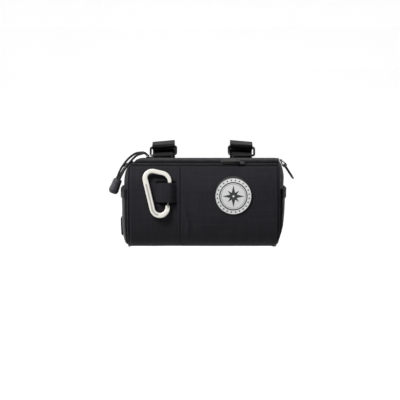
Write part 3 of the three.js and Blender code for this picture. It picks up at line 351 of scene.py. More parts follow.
# %% The lamps and the white surroundings
def lamp(name, place, width, power, target):
    """A square lamp that faces its target, made from the direction between the two points."""
    data = bpy.data.lights.new(name, "AREA")
    data.shape = "SQUARE"
    data.size = width
    data.energy = power
    source = bpy.data.objects.new(name, data)
    source.location = place
    direction = Vector(target) - Vector(place)
    source.rotation_euler = direction.to_track_quat("-Z", "Y").to_euler()
    bpy.context.scene.collection.objects.link(source)


TARGET = (0.0, -0.05, -0.05)
LAMP_COLUMNS = ("name", "place", "width", "power")
LAMPS = [
    ("key_lamp", (-0.75, -0.95, 1.0), 0.5, 27),
    ("fill_lamp", (1.2, -1.7, 0.5), 1.2, 2),
    ("left_card", (-1.1, 0.35, 0.1), 0.8, 8),
    ("right_card", (1.1, 0.4, 0.15), 0.8, 4.5),
    ("top_card", (0.0, 0.5, 1.1), 0.9, 2),
]
for row in LAMPS:
    lamp(**dict(zip(LAMP_COLUMNS, row)), target=TARGET)
WHITE_SURROUNDINGS = 0.16
world = bpy.data.worlds.new("surroundings")
bpy.context.scene.world = world
world.use_nodes = True
surroundings = world.node_tree.nodes["Background"].inputs
surroundings["Color"].default_value = (1, 1, 1, 1)
surroundings["Strength"].default_value = WHITE_SURROUNDINGS

# %% [markdown]
# ## A way to write materials
# A material is a graph of nodes. Written out node by node it hides its idea, so two small classes help. A
# Signal is one node's output, and Python's operators on it add Math nodes. A Finish is a material whose
# node() adds any other node from its settings and the values or signals of its sockets. Bump, roughness and
# colour then read as formulas.


# %% Signals and finishes
class Signal:
    """A node's output. Arithmetic on it adds Math nodes to the same material."""

    def __init__(self, finish, socket):
        self.finish, self.socket = finish, socket


def operation(kind, swapped=False):
    """A method that adds one Math node, from the signal and another value, or the other way round."""

    def apply(self, other=0.0):
        pair = (other, self) if swapped else (self, other)
        return self.finish.node("ShaderNodeMath", {"operation": kind}, dict(enumerate(pair)))

    return apply


MATH = {"add": "ADD", "radd": "ADD", "sub": "SUBTRACT", "mul": "MULTIPLY", "rmul": "MULTIPLY"}
MATH.update({"pow": "POWER", "truediv": "DIVIDE", "gt": "GREATER_THAN", "lt": "LESS_THAN"})
for name, kind in MATH.items():
    setattr(Signal, f"__{name}__", operation(kind))
Signal.__rsub__ = operation("SUBTRACT", swapped=True)
for name, kind in {"sin": "SINE", "size": "ABSOLUTE", "fraction": "FRACT", "most": "MAXIMUM"}.items():
    setattr(Signal, name, operation(kind))


class Finish:
    """A material under construction, with one Principled shader."""

    def __init__(self, name):
        self.material = bpy.data.materials.new(name)
        self.material.use_nodes = True
        self.tree = self.material.node_tree
        self.tree.nodes.clear()
        self.shader = self.tree.nodes.new("ShaderNodeBsdfPrincipled")
        output = self.tree.nodes.new("ShaderNodeOutputMaterial")
        self.tree.links.new(self.shader.outputs[0], output.inputs["Surface"])

    def plug(self, node, socket, value):
        """Links a signal to a socket, or sets the socket's own value."""
        if isinstance(value, Signal):
            self.tree.links.new(value.socket, node.inputs[socket])
        else:
            node.inputs[socket].default_value = value

    def node(self, kind, settings=(), sockets=(), output=0):
        """A new node: its settings first, then its sockets, and one of its outputs as a signal."""
        made = self.tree.nodes.new(kind)
        for key, value in dict(settings).items():
            setattr(made, key, value)
        for socket, value in dict(sockets).items():
            self.plug(made, socket, value)
        return Signal(self, made.outputs[output])

    def surface(self, **sockets):
        """Sets the Principled shader's sockets, whose names are written with underscores."""
        for socket, value in sockets.items():
            self.plug(self.shader, socket.replace("_", " ").title().replace("Ior", "IOR"), value)
        return self

    def place(self, coordinates="Object"):
        """The place on the piece in millimetres, as x, y and z signals, or along its threads for "UV"."""
        coords = self.node("ShaderNodeTexCoord", output=coordinates)
        split = self.node("ShaderNodeSeparateXYZ", (), {0: coords})
        return [Signal(self, output) * (1 / MM) for output in split.socket.node.outputs]

    def noise(self, size, detail=3.0, roughness=0.5):
        """Soft noise between 0 and 1 whose blotches are about that many millimetres across."""
        coords = self.node("ShaderNodeTexCoord", output="Object")
        sockets = {"Vector": coords, "Scale": 1 / (size * MM), "Detail": detail, "Roughness": roughness}
        return self.node("ShaderNodeTexNoise", {"normalize": True}, sockets)

    def streaks(self, along, across):
        """Noise drawn out along the weft, plus noise drawn out along the warp, as uneven threads look."""
        u, v, _ = self.place("UV")
        total = 0.0
        for a, b in ((along, across), (across, along)):
            vector = self.node("ShaderNodeCombineXYZ", (), {0: u / a, 1: v / b, 2: a / 7})
            sockets = {"Vector": vector, "Scale": 1.0, "Detail": 2.0}
            total = self.node("ShaderNodeTexNoise", (), sockets) + total
        return total * 0.5

    def blend(self, share, first, second):
        """A colour between two, by a share."""
        made = self.tree.nodes.new("ShaderNodeMix")
        made.data_type = "RGBA"
        made.clamp_factor = True
        for socket, value in zip((0, 6, 7), (share, first, second)):
            self.plug(made, socket, value)
        return Signal(self, made.outputs[2])

    def bump(self, height, depth, normal=None):
        """A normal that stands for a relief of that height signal, times a depth in millimetres."""
        sockets = {"Height": height, "Distance": depth * MM, "Strength": 1.0}
        if normal is not None:
            sockets["Normal"] = normal
        return self.node("ShaderNodeBump", (), sockets)


def grey(level, tint=(1, 1, 1)):
    """A linear colour from one level and a tint."""
    return tuple(level * t for t in tint) + (1.0,)


BLUISH = (1.0, 0.96, 1.22)
print("finish helpers ready")

# %% [markdown]
# ## Cloth and webbing
# The bag's cloth is a black recycled nylon with a fine square weave, matt, a little blue, and paler where
# it is rubbed. A weave could be real threads, but at 0.7 mm a thread that would be millions of faces, so it
# is a bump: each thread is a sine along one direction, and a checker of the two says which one lies on top.
# Large soft noise varies the colour, as light handling does.


# %% The cloth's finishes
def woven(
    name, level, pitch, relief, roughness, tint=BLUISH, rib=False, sheen=0.07, mottle=0.25, gloss=0.16
):
    """A plain weave: threads are |sin| along u and v, and the sign of their product picks the top one."""
    finish = Finish(name)
    u, v, _ = finish.place("UV")
    turn = math.pi / pitch
    warp, weft = (u * turn).sin(), (v * turn).sin()
    if rib:
        top = warp.size() * 0.35 + (v * (turn * 0.5)).sin().size()
    else:
        over = (warp * weft) > 0.0
        top = over * warp.size() + (1 - over) * weft.size()
    wear = finish.noise(14.0, 4.0, 0.6)
    grain = finish.noise(1.4, 2.0, 0.7)
    slubs = finish.streaks(45.0, 1.5)
    # Lighter crowns on the upper thread are painted highlight; wear, grain and slubs vary at random.
    shade = top * 0.35 + 0.75 + (wear - 0.5) * (2 * mottle) + (grain - 0.5) * mottle
    shade = shade + (slubs - 0.5) * (5 * mottle)
    colour = finish.blend(shade * 0.5, grey(0.0), grey(2 * level, tint))
    normal = finish.bump(top, relief, finish.bump(wear, 0.35))
    finish.surface(base_color=colour, roughness=(wear - 0.5) * 0.2 + roughness, normal=normal)
    finish.surface(sheen_weight=sheen, sheen_roughness=0.4, specular_ior_level=gloss)
    return finish.material


body_cloth = woven("body_cloth", 0.0125, 0.75, 0.05, 0.72)
layer_cloth = woven("layer_cloth", 0.0145, 0.75, 0.05, 0.72)
strap_webbing = woven("strap_webbing", 0.0025, 1.3, 0.1, 0.42, rib=True, sheen=0.0, mottle=0.15, gloss=0.1)
soft_webbing = woven("soft_webbing", 0.006, 1.1, 0.16, 0.5, rib=True)
zip_tape = woven("zip_tape", 0.008, 0.6, 0.08, 0.7, rib=True)
print("cloth finishes:", [m.name for m in bpy.data.materials])


# %% Other finishes: metal, rubber, thread
def plain(
    name, level, roughness, metallic=0.0, tint=(1, 1, 1), spots=3.0, relief=0.05, coat=0.0, uneven=0.12
):
    """A moulded or cast surface: fine noise varies its colour, roughness and relief."""
    finish = Finish(name)
    noise = finish.noise(spots, 4.0, 0.6)
    wear = finish.noise(spots * 6, 2.0, 0.5)
    share = (noise * 0.5 + wear * 0.5 - 0.5) * (4 * uneven) + 0.5
    colour = finish.blend(share, grey(level * (1 - 2 * uneven), tint), grey(level * (1 + 2 * uneven), tint))
    finish.surface(base_color=colour, roughness=(noise - 0.5) * 0.15 + roughness)
    finish.surface(normal=finish.bump(noise, relief), metallic=metallic)
    finish.surface(coat_weight=coat, coat_roughness=0.15)
    return finish.material


black_metal = plain("black_metal", 0.007, 0.24, 0.0, BLUISH, 2.0, 0.02, coat=0.4)
slider_metal = plain("slider_metal", 0.01, 0.36, 0.2, BLUISH, 1.5, 0.03)
pull_rubber = plain("pull_rubber", 0.008, 0.36, tint=(1.08, 1.0, 1.1), spots=1.5)
grip_rubber = plain("grip_rubber", 0.026, 0.55, tint=BLUISH, spots=1.2, relief=0.08)
zip_teeth = plain("zip_teeth", 0.009, 0.45, tint=BLUISH, spots=1.0)
thread = plain("thread", 0.011, 0.6, tint=BLUISH, spots=0.8, uneven=0.2)
print("finishes:", len(bpy.data.materials))


# %% The floor's finish: grey in front, dusty white behind, with a painted glow there as a lit studio wall
pale_floor = Finish("pale_floor")
dust = pale_floor.noise(300.0, 2.0)
behind = (pale_floor.place()[1] + 100.0) / 900.0
colour = pale_floor.blend(behind, grey(0.4), pale_floor.blend(dust, grey(0.86), grey(0.9)))
glow = pale_floor.blend(behind, grey(0.1), grey(1.0))
pale_floor.surface(base_color=colour, roughness=0.8, emission_color=glow, emission_strength=0.55)
floor.data.materials.append(pale_floor.material)
print("floor finish:", floor.data.materials[0].name)


# %% Giving a piece its finish
def painted(piece, material):
    """Gives the piece its finish."""
    piece.data.materials.clear()
    piece.data.materials.append(material)
    return piece


print("ready to paint")

# %% [markdown]
# ## The barrel
# On the real bag the main tube is one length of cloth, sewn round and open only along the zip on top. It
# could be a cylinder bent by a lattice, but the section's formula already gives it. Soft wavelets, a few
# sines that run along and round the bag, let the free cloth sink a little between its seams, and never rise
# into the layers on it.


# %% The barrel
def hemmed(distance, width=0.9):
    """A share from 0 at a cut edge to 1 inside it, along a quarter circle, so that edges look folded."""
    t = np.clip(distance / width, 0, 1)
    return np.sqrt(1 - (1 - t) ** 2)


WAVE_COLUMNS = ("length", "twist", "start")
WAVES = [(11.0, 0.045, 0.0), (17.0, -0.11, 2.0), (29.0, 0.07, 4.0)]


def waves(x, angle):
    """How far loose cloth sinks: three crossing sines, each between 0 and 1, averaged and squared."""
    total = 0.0
    for row in WAVES:
        wave = dict(zip(WAVE_COLUMNS, row))
        total = total + 0.5 + 0.5 * np.sin(x / wave["length"] + wave["twist"] * angle + wave["start"])
    return (total / 3) ** 2


WAVE_DEPTH, WAVE_FADE_DEGREES, WAVE_FADE_SHARE = 1.1, 14, 6
LAYERED_ANGLES, LAYERED_FADES = (292, 446), (8, 6)


def barrel():
    """Rows go round from one side of the zip's slot to the other, and columns from seam to seam."""
    start, end = MAIN_ZIP_ANGLES[1], MAIN_ZIP_ANGLES[0] + 360
    share, angle = np.meshgrid(np.linspace(0, 1, 91), np.linspace(start, end, 241))
    x = seam_x("left", angle) + (seam_x("right", angle) - seam_x("left", angle)) * share
    edge = within(angle, start, end)
    loose = ease(within(share, 0, 1) * WAVE_FADE_SHARE) * ease(edge / WAVE_FADE_DEGREES)
    layered = ease((angle - LAYERED_ANGLES[0]) / LAYERED_FADES[0])
    layered = layered * ease((LAYERED_ANGLES[1] - angle) / LAYERED_FADES[1])
    sink = -WAVE_DEPTH * waves(x, angle) * loose * (1 - layered)
    fold = (1 - hemmed(edge * 0.9)) * CLOTH / 2
    outer, inner = barrel_point(x, angle, sink - fold), barrel_point(x, angle, sink - CLOTH + fold)
    return cloth("barrel_cloth", outer, inner, replaced=["barrel"])


painted(barrel(), body_cloth)
print("barrel made")

# %% [markdown]
# ## The ends and their bound seams
# Each end is a panel of the same cloth, held to the tube by a seam whose edges are bound with tape. The
# panel domes outwards, because the tube's cut is longer than the end's. Close to the seam the cloth gathers
# in small puckers, which are a sine round the rim that fades away inwards.


# %% The end panels
PUCKERS, PUCKER_DEPTH, PUCKER_PLACE, PUCKER_WIDTH = 34, 1.0, 0.95, 0.05
PINCHES, PINCH, BINDING_LIFT, BINDING_HALF = 90, 0.1, 0.35, 0.55


def end_panel(side):
    """Polar rows and columns: the radius is the section's own, and puckers are a sine at the rim."""
    share, angle = np.meshgrid(np.linspace(0.004, 1, 44), np.linspace(0, 360, 217)[:-1])
    near_rim = bell(share, PUCKER_PLACE, PUCKER_WIDTH)
    pucker = PUCKER_DEPTH / 2 * (np.sin(np.radians(angle) * PUCKERS) - 1) * near_rim
    layers = []
    for inside in (0, CLOTH):
        radius = (radius_at(angle) - inside) * share
        x = OUTWARD[side] * (end_face(side, angle, share, inside) + pucker)
        places = [x, BAG_CENTRE - radius * cosine(angle), BAG_CENTRE + radius * sine(angle)]
        layers.append(np.stack(places, -1))
    return cloth(f"end_cloth_{side}", *layers, close_rows=True, replaced=[f"end_{side}"])


def binding(side):
    """A flat oval roll of tape along the seam, pinched a little by every stitch that holds it."""
    angle = np.linspace(0, 360, 541)[:-1][:, None]
    turn = np.linspace(0, 360, 15)[:-1][None, :]
    pinch = 1 - PINCH * np.sin(np.radians(angle) * PINCHES) ** 2
    half_width, half_height = PIPING_DIAMETER * 0.6 * pinch, BINDING_HALF * pinch
    x = seam_x(side, angle) + OUTWARD[side] * FIT / 2 + half_width * cosine(turn)
    rings = barrel_point(x, angle, BINDING_LIFT + half_height * sine(turn))
    return tube(f"binding_{side}", rings, closed=True, slot="webbing", replaced=[f"piping_{side}"])


for side in OUTWARD:
    painted(end_panel(side), body_cloth)
    painted(binding(side), soft_webbing)
print("ends and bindings made")

# %% [markdown]
# ## The panel with the strip
# Left of the vertical seam an extra layer lies on the front. Two slots are cut through it, and the strip
# between them stands up over the carabiner's gate. The grid has rows and columns exactly on the slots'
# edges, and its cells in the slots are left out, so the cuts are clean and their walls close.

# %% The slot panel
STRIP_ANGLES = (4, 28)
STRIP_X = (-56.7, -32.7)
SLOT_HEIGHT = 2.8
STRIP_RISE = 8.7
ARCH_ALONG = [0, 0.07, 0.15, 0.24, 0.42, 0.6, 0.74, 0.86, 0.94, 1]
ARCH_RISE = [0, 0.42, 0.8, 0.96, 0.98, 1, 0.92, 0.6, 0.26, 0]
STRIP_SIDE, SLOT_EDGE, SLOT_REACH = 12, 0.9, 9
SWELL, SWELL_PLACE, SWELL_WIDTH, PANEL_WAVES, FLAT_RISE = 0.07, 2.2, 1.1, 0.25, 0.2
SMOOTHING = np.array([1, 4, 6, 4, 1]) / 16


def smoothed(values, times=1):
    """The values averaged with their neighbours by binomial weights, with the ends kept."""
    for _ in range(times):
        padded = np.concatenate([values[:1], values[:1], values, values[-1:], values[-1:]])
        inner = np.convolve(padded, SMOOTHING, "valid")
        values = np.concatenate([values[:1], inner[1:-1], values[-1:]])
    return values


def slot_panel():
    """Rows go up past both slots, and columns from the left seam over the strip to the right seam."""
    low = STRIP_ANGLES[0] - degrees_for(SLOT_HEIGHT, STRIP_ANGLES[0])
    high = STRIP_ANGLES[1] + degrees_for(SLOT_HEIGHT, STRIP_ANGLES[1])
    below, strip = np.linspace(PANEL_ANGLES[0], low, 60), np.linspace(*STRIP_ANGLES, 40)
    above = np.linspace(high, PANEL_ANGLES[1], 24)
    angles = np.concatenate([below, strip, above])
    arch_x = np.linspace(*STRIP_X, 61)
    arch = smoothed(np.interp(np.linspace(0, 1, 61), ARCH_ALONG, ARCH_RISE), 4) * STRIP_RISE
    left_share, right_x = np.linspace(0, 1, 26)[:-1], np.linspace(STRIP_X[1], PANEL_SEAM_X, 8)[1:]
    start = along_bag(angles, 0)[:, None]
    left_x = start + (STRIP_X[0] - start) * left_share
    fixed_x = np.concatenate([arch_x, right_x])
    x = np.concatenate([left_x, np.broadcast_to(fixed_x, (len(angles), len(fixed_x)))], 1)
    angle = np.broadcast_to(angles[:, None], x.shape)
    raised = ((angles >= STRIP_ANGLES[0]) & (angles <= STRIP_ANGLES[1]))[:, None]
    rise = np.concatenate([0 * left_share, arch, 0 * right_x]) * raised
    arch_start = len(left_share)
    in_arch = np.zeros(x.shape[1] - 1, bool)
    in_arch[arch_start : arch_start + len(arch) - 1] = True
    skip = (raised[1:] != raised[:-1]) & in_arch
    beyond = np.minimum(abs(angle - low), abs(angle - high))
    to_slot = np.where(raised, within(angle, *STRIP_ANGLES), beyond)
    beside = ease((np.abs(x - np.mean(STRIP_X)) - STRIP_SIDE) / 2)
    edge = np.minimum(within(x, start, PANEL_SEAM_X), within(angle, *PANEL_ANGLES))
    edge = np.minimum(edge, to_slot * SLOT_EDGE + SLOT_REACH * beside)
    swell = SWELL * bell(edge, SWELL_PLACE, SWELL_WIDTH) + PANEL_WAVES * waves(x * 1.7, angle)
    thickness = CLOTH * (0.7 + 0.3 * hemmed(edge, 0.5)) + np.where(rise > FLAT_RISE, 0, swell)
    inner, outer = [barrel_point(x, angle, LAYER_BASE + rise + part) for part in (0, thickness)]
    return cloth("strip_panel_cloth", outer, inner, skip=skip, replaced=["slot_panel"])


painted(slot_panel(), layer_cloth)
print("panel and strip made")

# %% [markdown]
# ## The front pocket
# The pocket's cloth is cut a little wider than the barrel under it, so it stands off in the middle and
# keeps a few creases. The stand is a bump that is nothing at the edges, less a few grooves. Each groove is
# a bell across its width times a bell along its length, with a place, a lean and a depth read off the
# photograph.

# %% The front pocket
POCKET_LOFT, POCKET_WAVES, DEEPEST_DENT = 2.4, 0.5, 0.85
CREASE_COLUMNS = ("x", "height", "length", "width", "lean", "depth")
CREASES = [
    (-0.235, -0.2, 0.2, 0.03, -14, -0.85),
    (-0.21, -0.52, 0.22, 0.03, 6, -0.75),
    (-0.185, -0.25, 0.26, 0.035, -12, 0.5),
    (0.79, 0.7, 0.15, 0.04, 52, 0.7),
    (0.3, -0.55, 0.35, 0.12, 78, 0.3),
    (-0.08, 0.3, 0.5, 0.09, 12, 0.22),
    (0.86, -0.25, 0.45, 0.07, 6, 0.3),
    (0.1, 0.62, 0.3, 0.08, 84, 0.22),
]


def creased(x, z):
    """Depth of the creases: a sum of bells, exp(-across^2 - along^2), each turned by its lean.

    A fold that stands up beside the seam has a depth below nothing.
    """
    total = np.zeros_like(x)
    for row in CREASES:
        crease = dict(zip(CREASE_COLUMNS, row))
        right, up = x - crease["x"] * HALF_LENGTH, z - crease["height"] * HALF_HEIGHT
        lean = crease["lean"]
        along = (up * cosine(lean) + right * sine(lean)) / (crease["length"] * HALF_HEIGHT)
        across = (right * cosine(lean) - up * sine(lean)) / (crease["width"] * HALF_LENGTH)
        total += crease["depth"] * POCKET_LOFT * np.exp(-(across**2) - along**2)
    return total


def pocket_stand(share, angle, x):
    """How far the pocket stands off the barrel: a bump with flat edges, less creases and soft waves."""
    around = (angle - PANEL_ANGLES[0]) / (PANEL_ANGLES[1] - PANEL_ANGLES[0])
    bump = np.minimum(1, 4 * share * (1 - share)) * np.minimum(1, 5 * around * (1 - around))
    z = barrel_point(x, angle, 0)[..., 2] - BAG_CENTRE
    dents = creased(x, z) + POCKET_WAVES * waves(x * 1.3, angle * 1.5)
    dents = np.minimum(dents, DEEPEST_DENT * POCKET_LOFT)
    return bump**0.5 * np.maximum(-dents, 0) + bump * (POCKET_LOFT - np.maximum(dents, 0))


def front_pocket():
    """Columns go from the panel's seam to the right end's, and rows up from the bag's lower front edge."""
    share, angle = np.meshgrid(np.linspace(0, 1, 171), np.linspace(*PANEL_ANGLES, 141))
    start, end = PANEL_SEAM_X + FIT, along_bag(angle, 1)
    x = start + (end - start) * share
    edge = np.minimum(within(x, start, end), within(angle, *PANEL_ANGLES))
    base = LAYER_BASE + pocket_stand(share, angle, x)
    thickness = CLOTH * (0.7 + 0.3 * hemmed(edge, 0.5)) + 0.06 * bell(edge, 2.4, 1.0)
    outer, inner = barrel_point(x, angle, base + thickness), barrel_point(x, angle, base)
    return cloth("front_pocket_cloth", outer, inner, replaced=["front_pocket"])


painted(front_pocket(), layer_cloth)
print("front pocket made, with", len(CREASES), "creases")


# %% The folded lip over the front zip
LIP_FOLD, LIP_RIPPLE, LIP_RIPPLE_LENGTH = 1.2, 0.16, 3.1


def zip_lip():
    """The lip's lower edge is turned under: a round bead there, which falls to one layer above."""
    share, angle = np.meshgrid(np.linspace(0, 1, 171), np.linspace(*LIP_ANGLES, 40))
    x = along_bag(angle, share)
    up = (angle - LIP_ANGLES[0]) / degrees_for(1, LIP_ANGLES[0])
    bead = LIP_FOLD * hemmed(up, 1.1) * (1 - ease((up - 3) / 2.2))
    ripple = LIP_RIPPLE * np.sin(x / LIP_RIPPLE_LENGTH) * bell(up, 3.2, 2)
    edge = np.minimum(up, (LIP_ANGLES[1] - angle) / degrees_for(1, LIP_ANGLES[1]))
    outer = barrel_point(x, angle, LAYER_BASE + CLOTH * (0.4 + 0.6 * hemmed(edge)) + bead + ripple)
    return cloth("zip_lip_cloth", outer, barrel_point(x, angle, LAYER_BASE), replaced=["zip_lip"])


painted(zip_lip(), layer_cloth)
print("layers on the front made")

# %% [markdown]
# ## Bands, wires and belts
# A strap that runs round a handlebar and a ring is a belt: straight where it is free and round where it
# turns. The belt's route comes from the circles it touches, and a band is the route with the strap's flat
# section carried along it. A ring is the same idea with a round section. Both are tubes of whole rings of
# points.


# %% Routes and sections
def belt(stops, closed=False, step=5):
    """The route round circles, rows of a, b, radius and turn, by the lines that touch each and the next."""
    stops = np.asarray(stops, float)
    follow = np.roll(stops, -1, 0)
    da, db = (follow - stops)[:, 0], (follow - stops)[:, 1]
    lean = (follow[:, 3] * follow[:, 2] - stops[:, 3] * stops[:, 2]) / np.maximum(np.hypot(da, db), 1e-9)
    legs = np.arctan2(db, da) - np.arcsin(np.clip(lean, -1, 1))
    path = []
    for i, (a, b, radius, turn) in enumerate(stops):
        arriving = legs[i - 1] if closed or i else legs[0]
        leaving = legs[i] if closed or i < len(stops) - 1 else legs[i - 1]
        sweep = (leaving - arriving) * turn % (2 * math.pi) * turn
        if abs(sweep) > 2 * math.pi - 1e-6:
            sweep = 0
        count = max(1, math.ceil(abs(math.degrees(sweep)) / step)) if radius else 0
        heading = arriving + sweep * np.linspace(0, 1, count + 1)
        places = [a + turn * radius * np.sin(heading), b - turn * radius * np.cos(heading)]
        path.append(np.stack(places, -1))
    return np.concatenate(path)


def resampled(path, count, closed=False):
    """The same route with that many points, evenly spaced along its length."""
    if closed:
        path = np.concatenate([path, path[:1]])
    length = lengths_along(path)
    at = np.linspace(0, length[-1], count, endpoint=not closed)
    return np.stack([np.interp(at, length, path[:, k]) for k in range(path.shape[1])], -1)


def directions(path, closed=False):
    """Unit tangents of a route, from the difference of each point's two neighbours."""
    tangent = np.roll(path, -1, 0) - np.roll(path, 1, 0) if closed else np.gradient(path, axis=0)
    return tangent / np.maximum(np.linalg.norm(tangent, axis=1, keepdims=True), 1e-9)


def flat_section(width, thickness, across=17, corner=4):
    """A webbing's section: flat above and below, with half circles for its woven edges."""
    half, radius = width / 2 - thickness / 2, thickness / 2
    run = np.linspace(-half, half, across)
    arc = np.linspace(90, -90, corner + 2)[1:-1]
    right = np.stack([half + radius * cosine(arc), radius * sine(arc)], -1)
    above = np.stack([run, np.full(across, radius)], -1)
    return np.concatenate([above, right, -above, -right])


def band_rings(near, far, ends, width, thickness, across=17):
    """Rings of a band: near and far are its flat routes at the two ends of its width, which count first."""
    section = flat_section(width, thickness, across)
    share = section[:, 0] / width + 0.5
    middle = near[:, None] * (1 - share[None, :, None]) + far[:, None] * share[None, :, None]
    heading = directions((near + far) / 2)
    out = np.stack([-heading[:, 1], heading[:, 0]], -1)
    flat_places = middle + out[:, None] * section[None, :, 1, None]
    x = np.broadcast_to(ends[0] + (ends[1] - ends[0]) * share, flat_places.shape[:2])
    return np.concatenate([x[..., None], flat_places], -1)


def wire_rings(path, normal, radius, sides=14):
    """Rings of a round wire along a closed flat route in space, whose plane has that normal."""
    inward = np.cross(directions(path, True), normal)
    turn = np.linspace(0, 360, sides, endpoint=False)[:, None]
    return path[:, None] + inward[:, None] * (radius * cosine(turn)) + normal * (radius * sine(turn))


print("belt helpers ready")

# %% [markdown]
# ## Straps, rings and anchors
# The straps hang the bag on the handlebar. Each comes off the back of the bag, goes over the bar, through a
# rectangular ring and back over itself. The bar narrows outwards, so the route is worked out once for each
# side of the strap and the band runs between the two. The rings are black plated wire and the short anchors
# hold them.

# %% Straps round the handlebar
BAR_DIAMETERS = (32.4, 27.4)
STRAPS_OFF_CENTRE, STRAPS_IN = -1.5, 42.0
STRAP_WIDTH, STRAP_THICKNESS = 28.0, 1.5
STRAP_SEWN, STRAP_END_BEARING = (192, 162), 24
RING_WIRE, RING_ROOM, RING_PITCH, RING_CORNER = 2.8, 0.5, 13.4, 2.6
RING_BEARING, RING_LEAN = 142, 47
ANCHOR_SEWN = (97, 110)
LAYER_GAP = 0.3
STRAP_POINTS = 260


def on_section(angle, offset):
    """Belt rows for points on the barrel's outline."""
    y, z = barrel_point(0, angle, offset)[..., 1:].T
    return np.stack([y, z, 0 * y, 0 * y + 1], -1)


def ring_bars(bar_radius):
    """The ring's upper and lower bars in the y-z plane, just clear of the strap where it leaves the bar."""
    reach = bar_radius + FIT + STRAP_THICKNESS + FIT + RING_WIRE / 2 + RING_ROOM
    upper = np.array([reach * cosine(RING_BEARING), reach * sine(RING_BEARING)])
    return upper, upper - RING_PITCH * np.array([cosine(RING_LEAN), sine(RING_LEAN)])


def strap_route(bar_radius):
    """From the bag's back over the bar, round the ring and back over itself to its loose end."""
    upper, _ = ring_bars(bar_radius)
    wrap = bar_radius + FIT + STRAP_THICKNESS / 2
    over = wrap + STRAP_THICKNESS + LAYER_GAP
    sewn = on_section(np.linspace(*STRAP_SEWN, 8), FIT + STRAP_THICKNESS / 2)
    end = (over + 1) * np.array([cosine(STRAP_END_BEARING), sine(STRAP_END_BEARING)])
    round_ring = [*upper, (RING_WIRE + STRAP_THICKNESS) / 2 + FIT, -1]
    turns = [[0, 0, wrap, 1], round_ring, [0, 0, over, -1], [*end, 0, -1]]
    return resampled(belt(np.concatenate([sewn, turns])), STRAP_POINTS)


def anchor_route(bar_radius):
    """From the bag's top round the ring's lower bar and back onto itself."""
    _, lower = ring_bars(bar_radius)
    below = on_section(np.linspace(*ANCHOR_SEWN, 5), FIT + STRAP_THICKNESS / 2)
    above = on_section(np.linspace(*ANCHOR_SEWN[::-1], 5), FIT + 1.5 * STRAP_THICKNESS + LAYER_GAP)
    turn = [[*lower, (RING_WIRE + STRAP_THICKNESS) / 2 + FIT, 1]]
    return resampled(belt(np.concatenate([below, turn, above])), 90)


def strap_x(side):
    """The middle of a strap along the bag."""
    return STRAPS_OFF_CENTRE + OUTWARD[side] * (HALF_LENGTH - STRAPS_IN)


def bar_radius_at(side, x):
    """The handlebar's radius, which falls from the inner edge of the strap to its outer edge."""
    share = OUTWARD[side] * (x - strap_x(side)) / STRAP_WIDTH + 0.5
    return (BAR_DIAMETERS[0] + (BAR_DIAMETERS[1] - BAR_DIAMETERS[0]) * share) / 2


def band_ends(side, width):
    """Where a band's inner and outer edges lie along the bag."""
    return [strap_x(side) + OUTWARD[side] * s * width / 2 for s in (-1, 1)]


def webbing_band(name, side, width, route, **options):
    """A band whose two edges follow the route for the handlebar's radius there."""
    ends = band_ends(side, width)
    near, far = [route(bar_radius_at(side, x)) for x in ends]
    return tube(name, band_rings(near, far, ends, width, STRAP_THICKNESS), slot="webbing", **options)


def ring_piece(side):
    """A rounded rectangle of wire in the plane through both bars, which follow the narrowing handlebar."""
    width = STRAP_WIDTH + 2 * RING_ROOM + RING_WIRE
    near, far = band_ends(side, width)
    near_up, near_low = [np.array([near, *bar]) for bar in ring_bars(bar_radius_at(side, near))]
    far_up = np.array([far, *ring_bars(bar_radius_at(side, far))[0]])
    middle = (near_low + far_up) / 2
    across, upward = [way / np.linalg.norm(way) for way in (near_up - far_up, near_up - near_low)]
    half_a, half_b = width / 2 - RING_CORNER, RING_PITCH / 2 - RING_CORNER
    stops = [[a * half_a, b * half_b, RING_CORNER, 1] for a, b in ((1, 1), (-1, 1), (-1, -1), (1, -1))]
    route = resampled(belt(stops, True), 120, True)
    normal = np.cross(across, upward)
    path = middle + route[:, :1] * across + route[:, 1:] * upward
    rings = wire_rings(path, normal / np.linalg.norm(normal), RING_WIRE / 2)
    return tube(f"strap_ring_{side}", rings, closed=True, slot="black_metal", replaced=[f"ring_{side}"])


for side in OUTWARD:
    bands = [("bar_strap", "strap", STRAP_WIDTH, strap_route)]
    bands += [("ring_anchor", "anchor", STRAP_WIDTH - 2 * RING_CORNER, anchor_route)]
    for name, node, width, route in bands:
        band = webbing_band(f"{name}_{side}", side, width, route, replaced=[f"{node}_{side}"])
        painted(band, strap_webbing)
    painted(ring_piece(side), black_metal)
print("straps, rings and anchors made")

# %% [markdown]
# ## D-rings on the ends
# A shoulder strap would clip to these. Each ring hangs on a loop of webbing that comes out from under the
# end's seam, and it swings, so it rides on a body of its own, while its loop stays with the bag.

# %% The D-rings and their loops
DRING_WIRE, DRING_WIDTH, DRING_REACH, DRING_LEAN, DRING_CORNER = 2.8, 24.0, 19.6, 33, 3.0
DRING_TAB_WIDTH, DRING_TAB_THICKNESS, DRING_TAB_ROOM = 18.5, 1.1, 0.8
DRING_TAB_SHARES = {"left": (0.9, 0.86, 0.8), "right": (0.96, 0.925, 0.84)}


def over_end(side, share, proud):
    """A place in the x-z plane square to the end's face, over its middle line; x counts outwards."""
    z = share * HALF_HEIGHT
    below, out, above = np.abs(on_end(side, 0.0, z + np.array([-0.5, 0.0, 0.5]), 0.0)[:, 0])
    size = math.hypot(1, above - below)
    return out + proud / size, BAG_CENTRE + z - (above - below) * proud / size


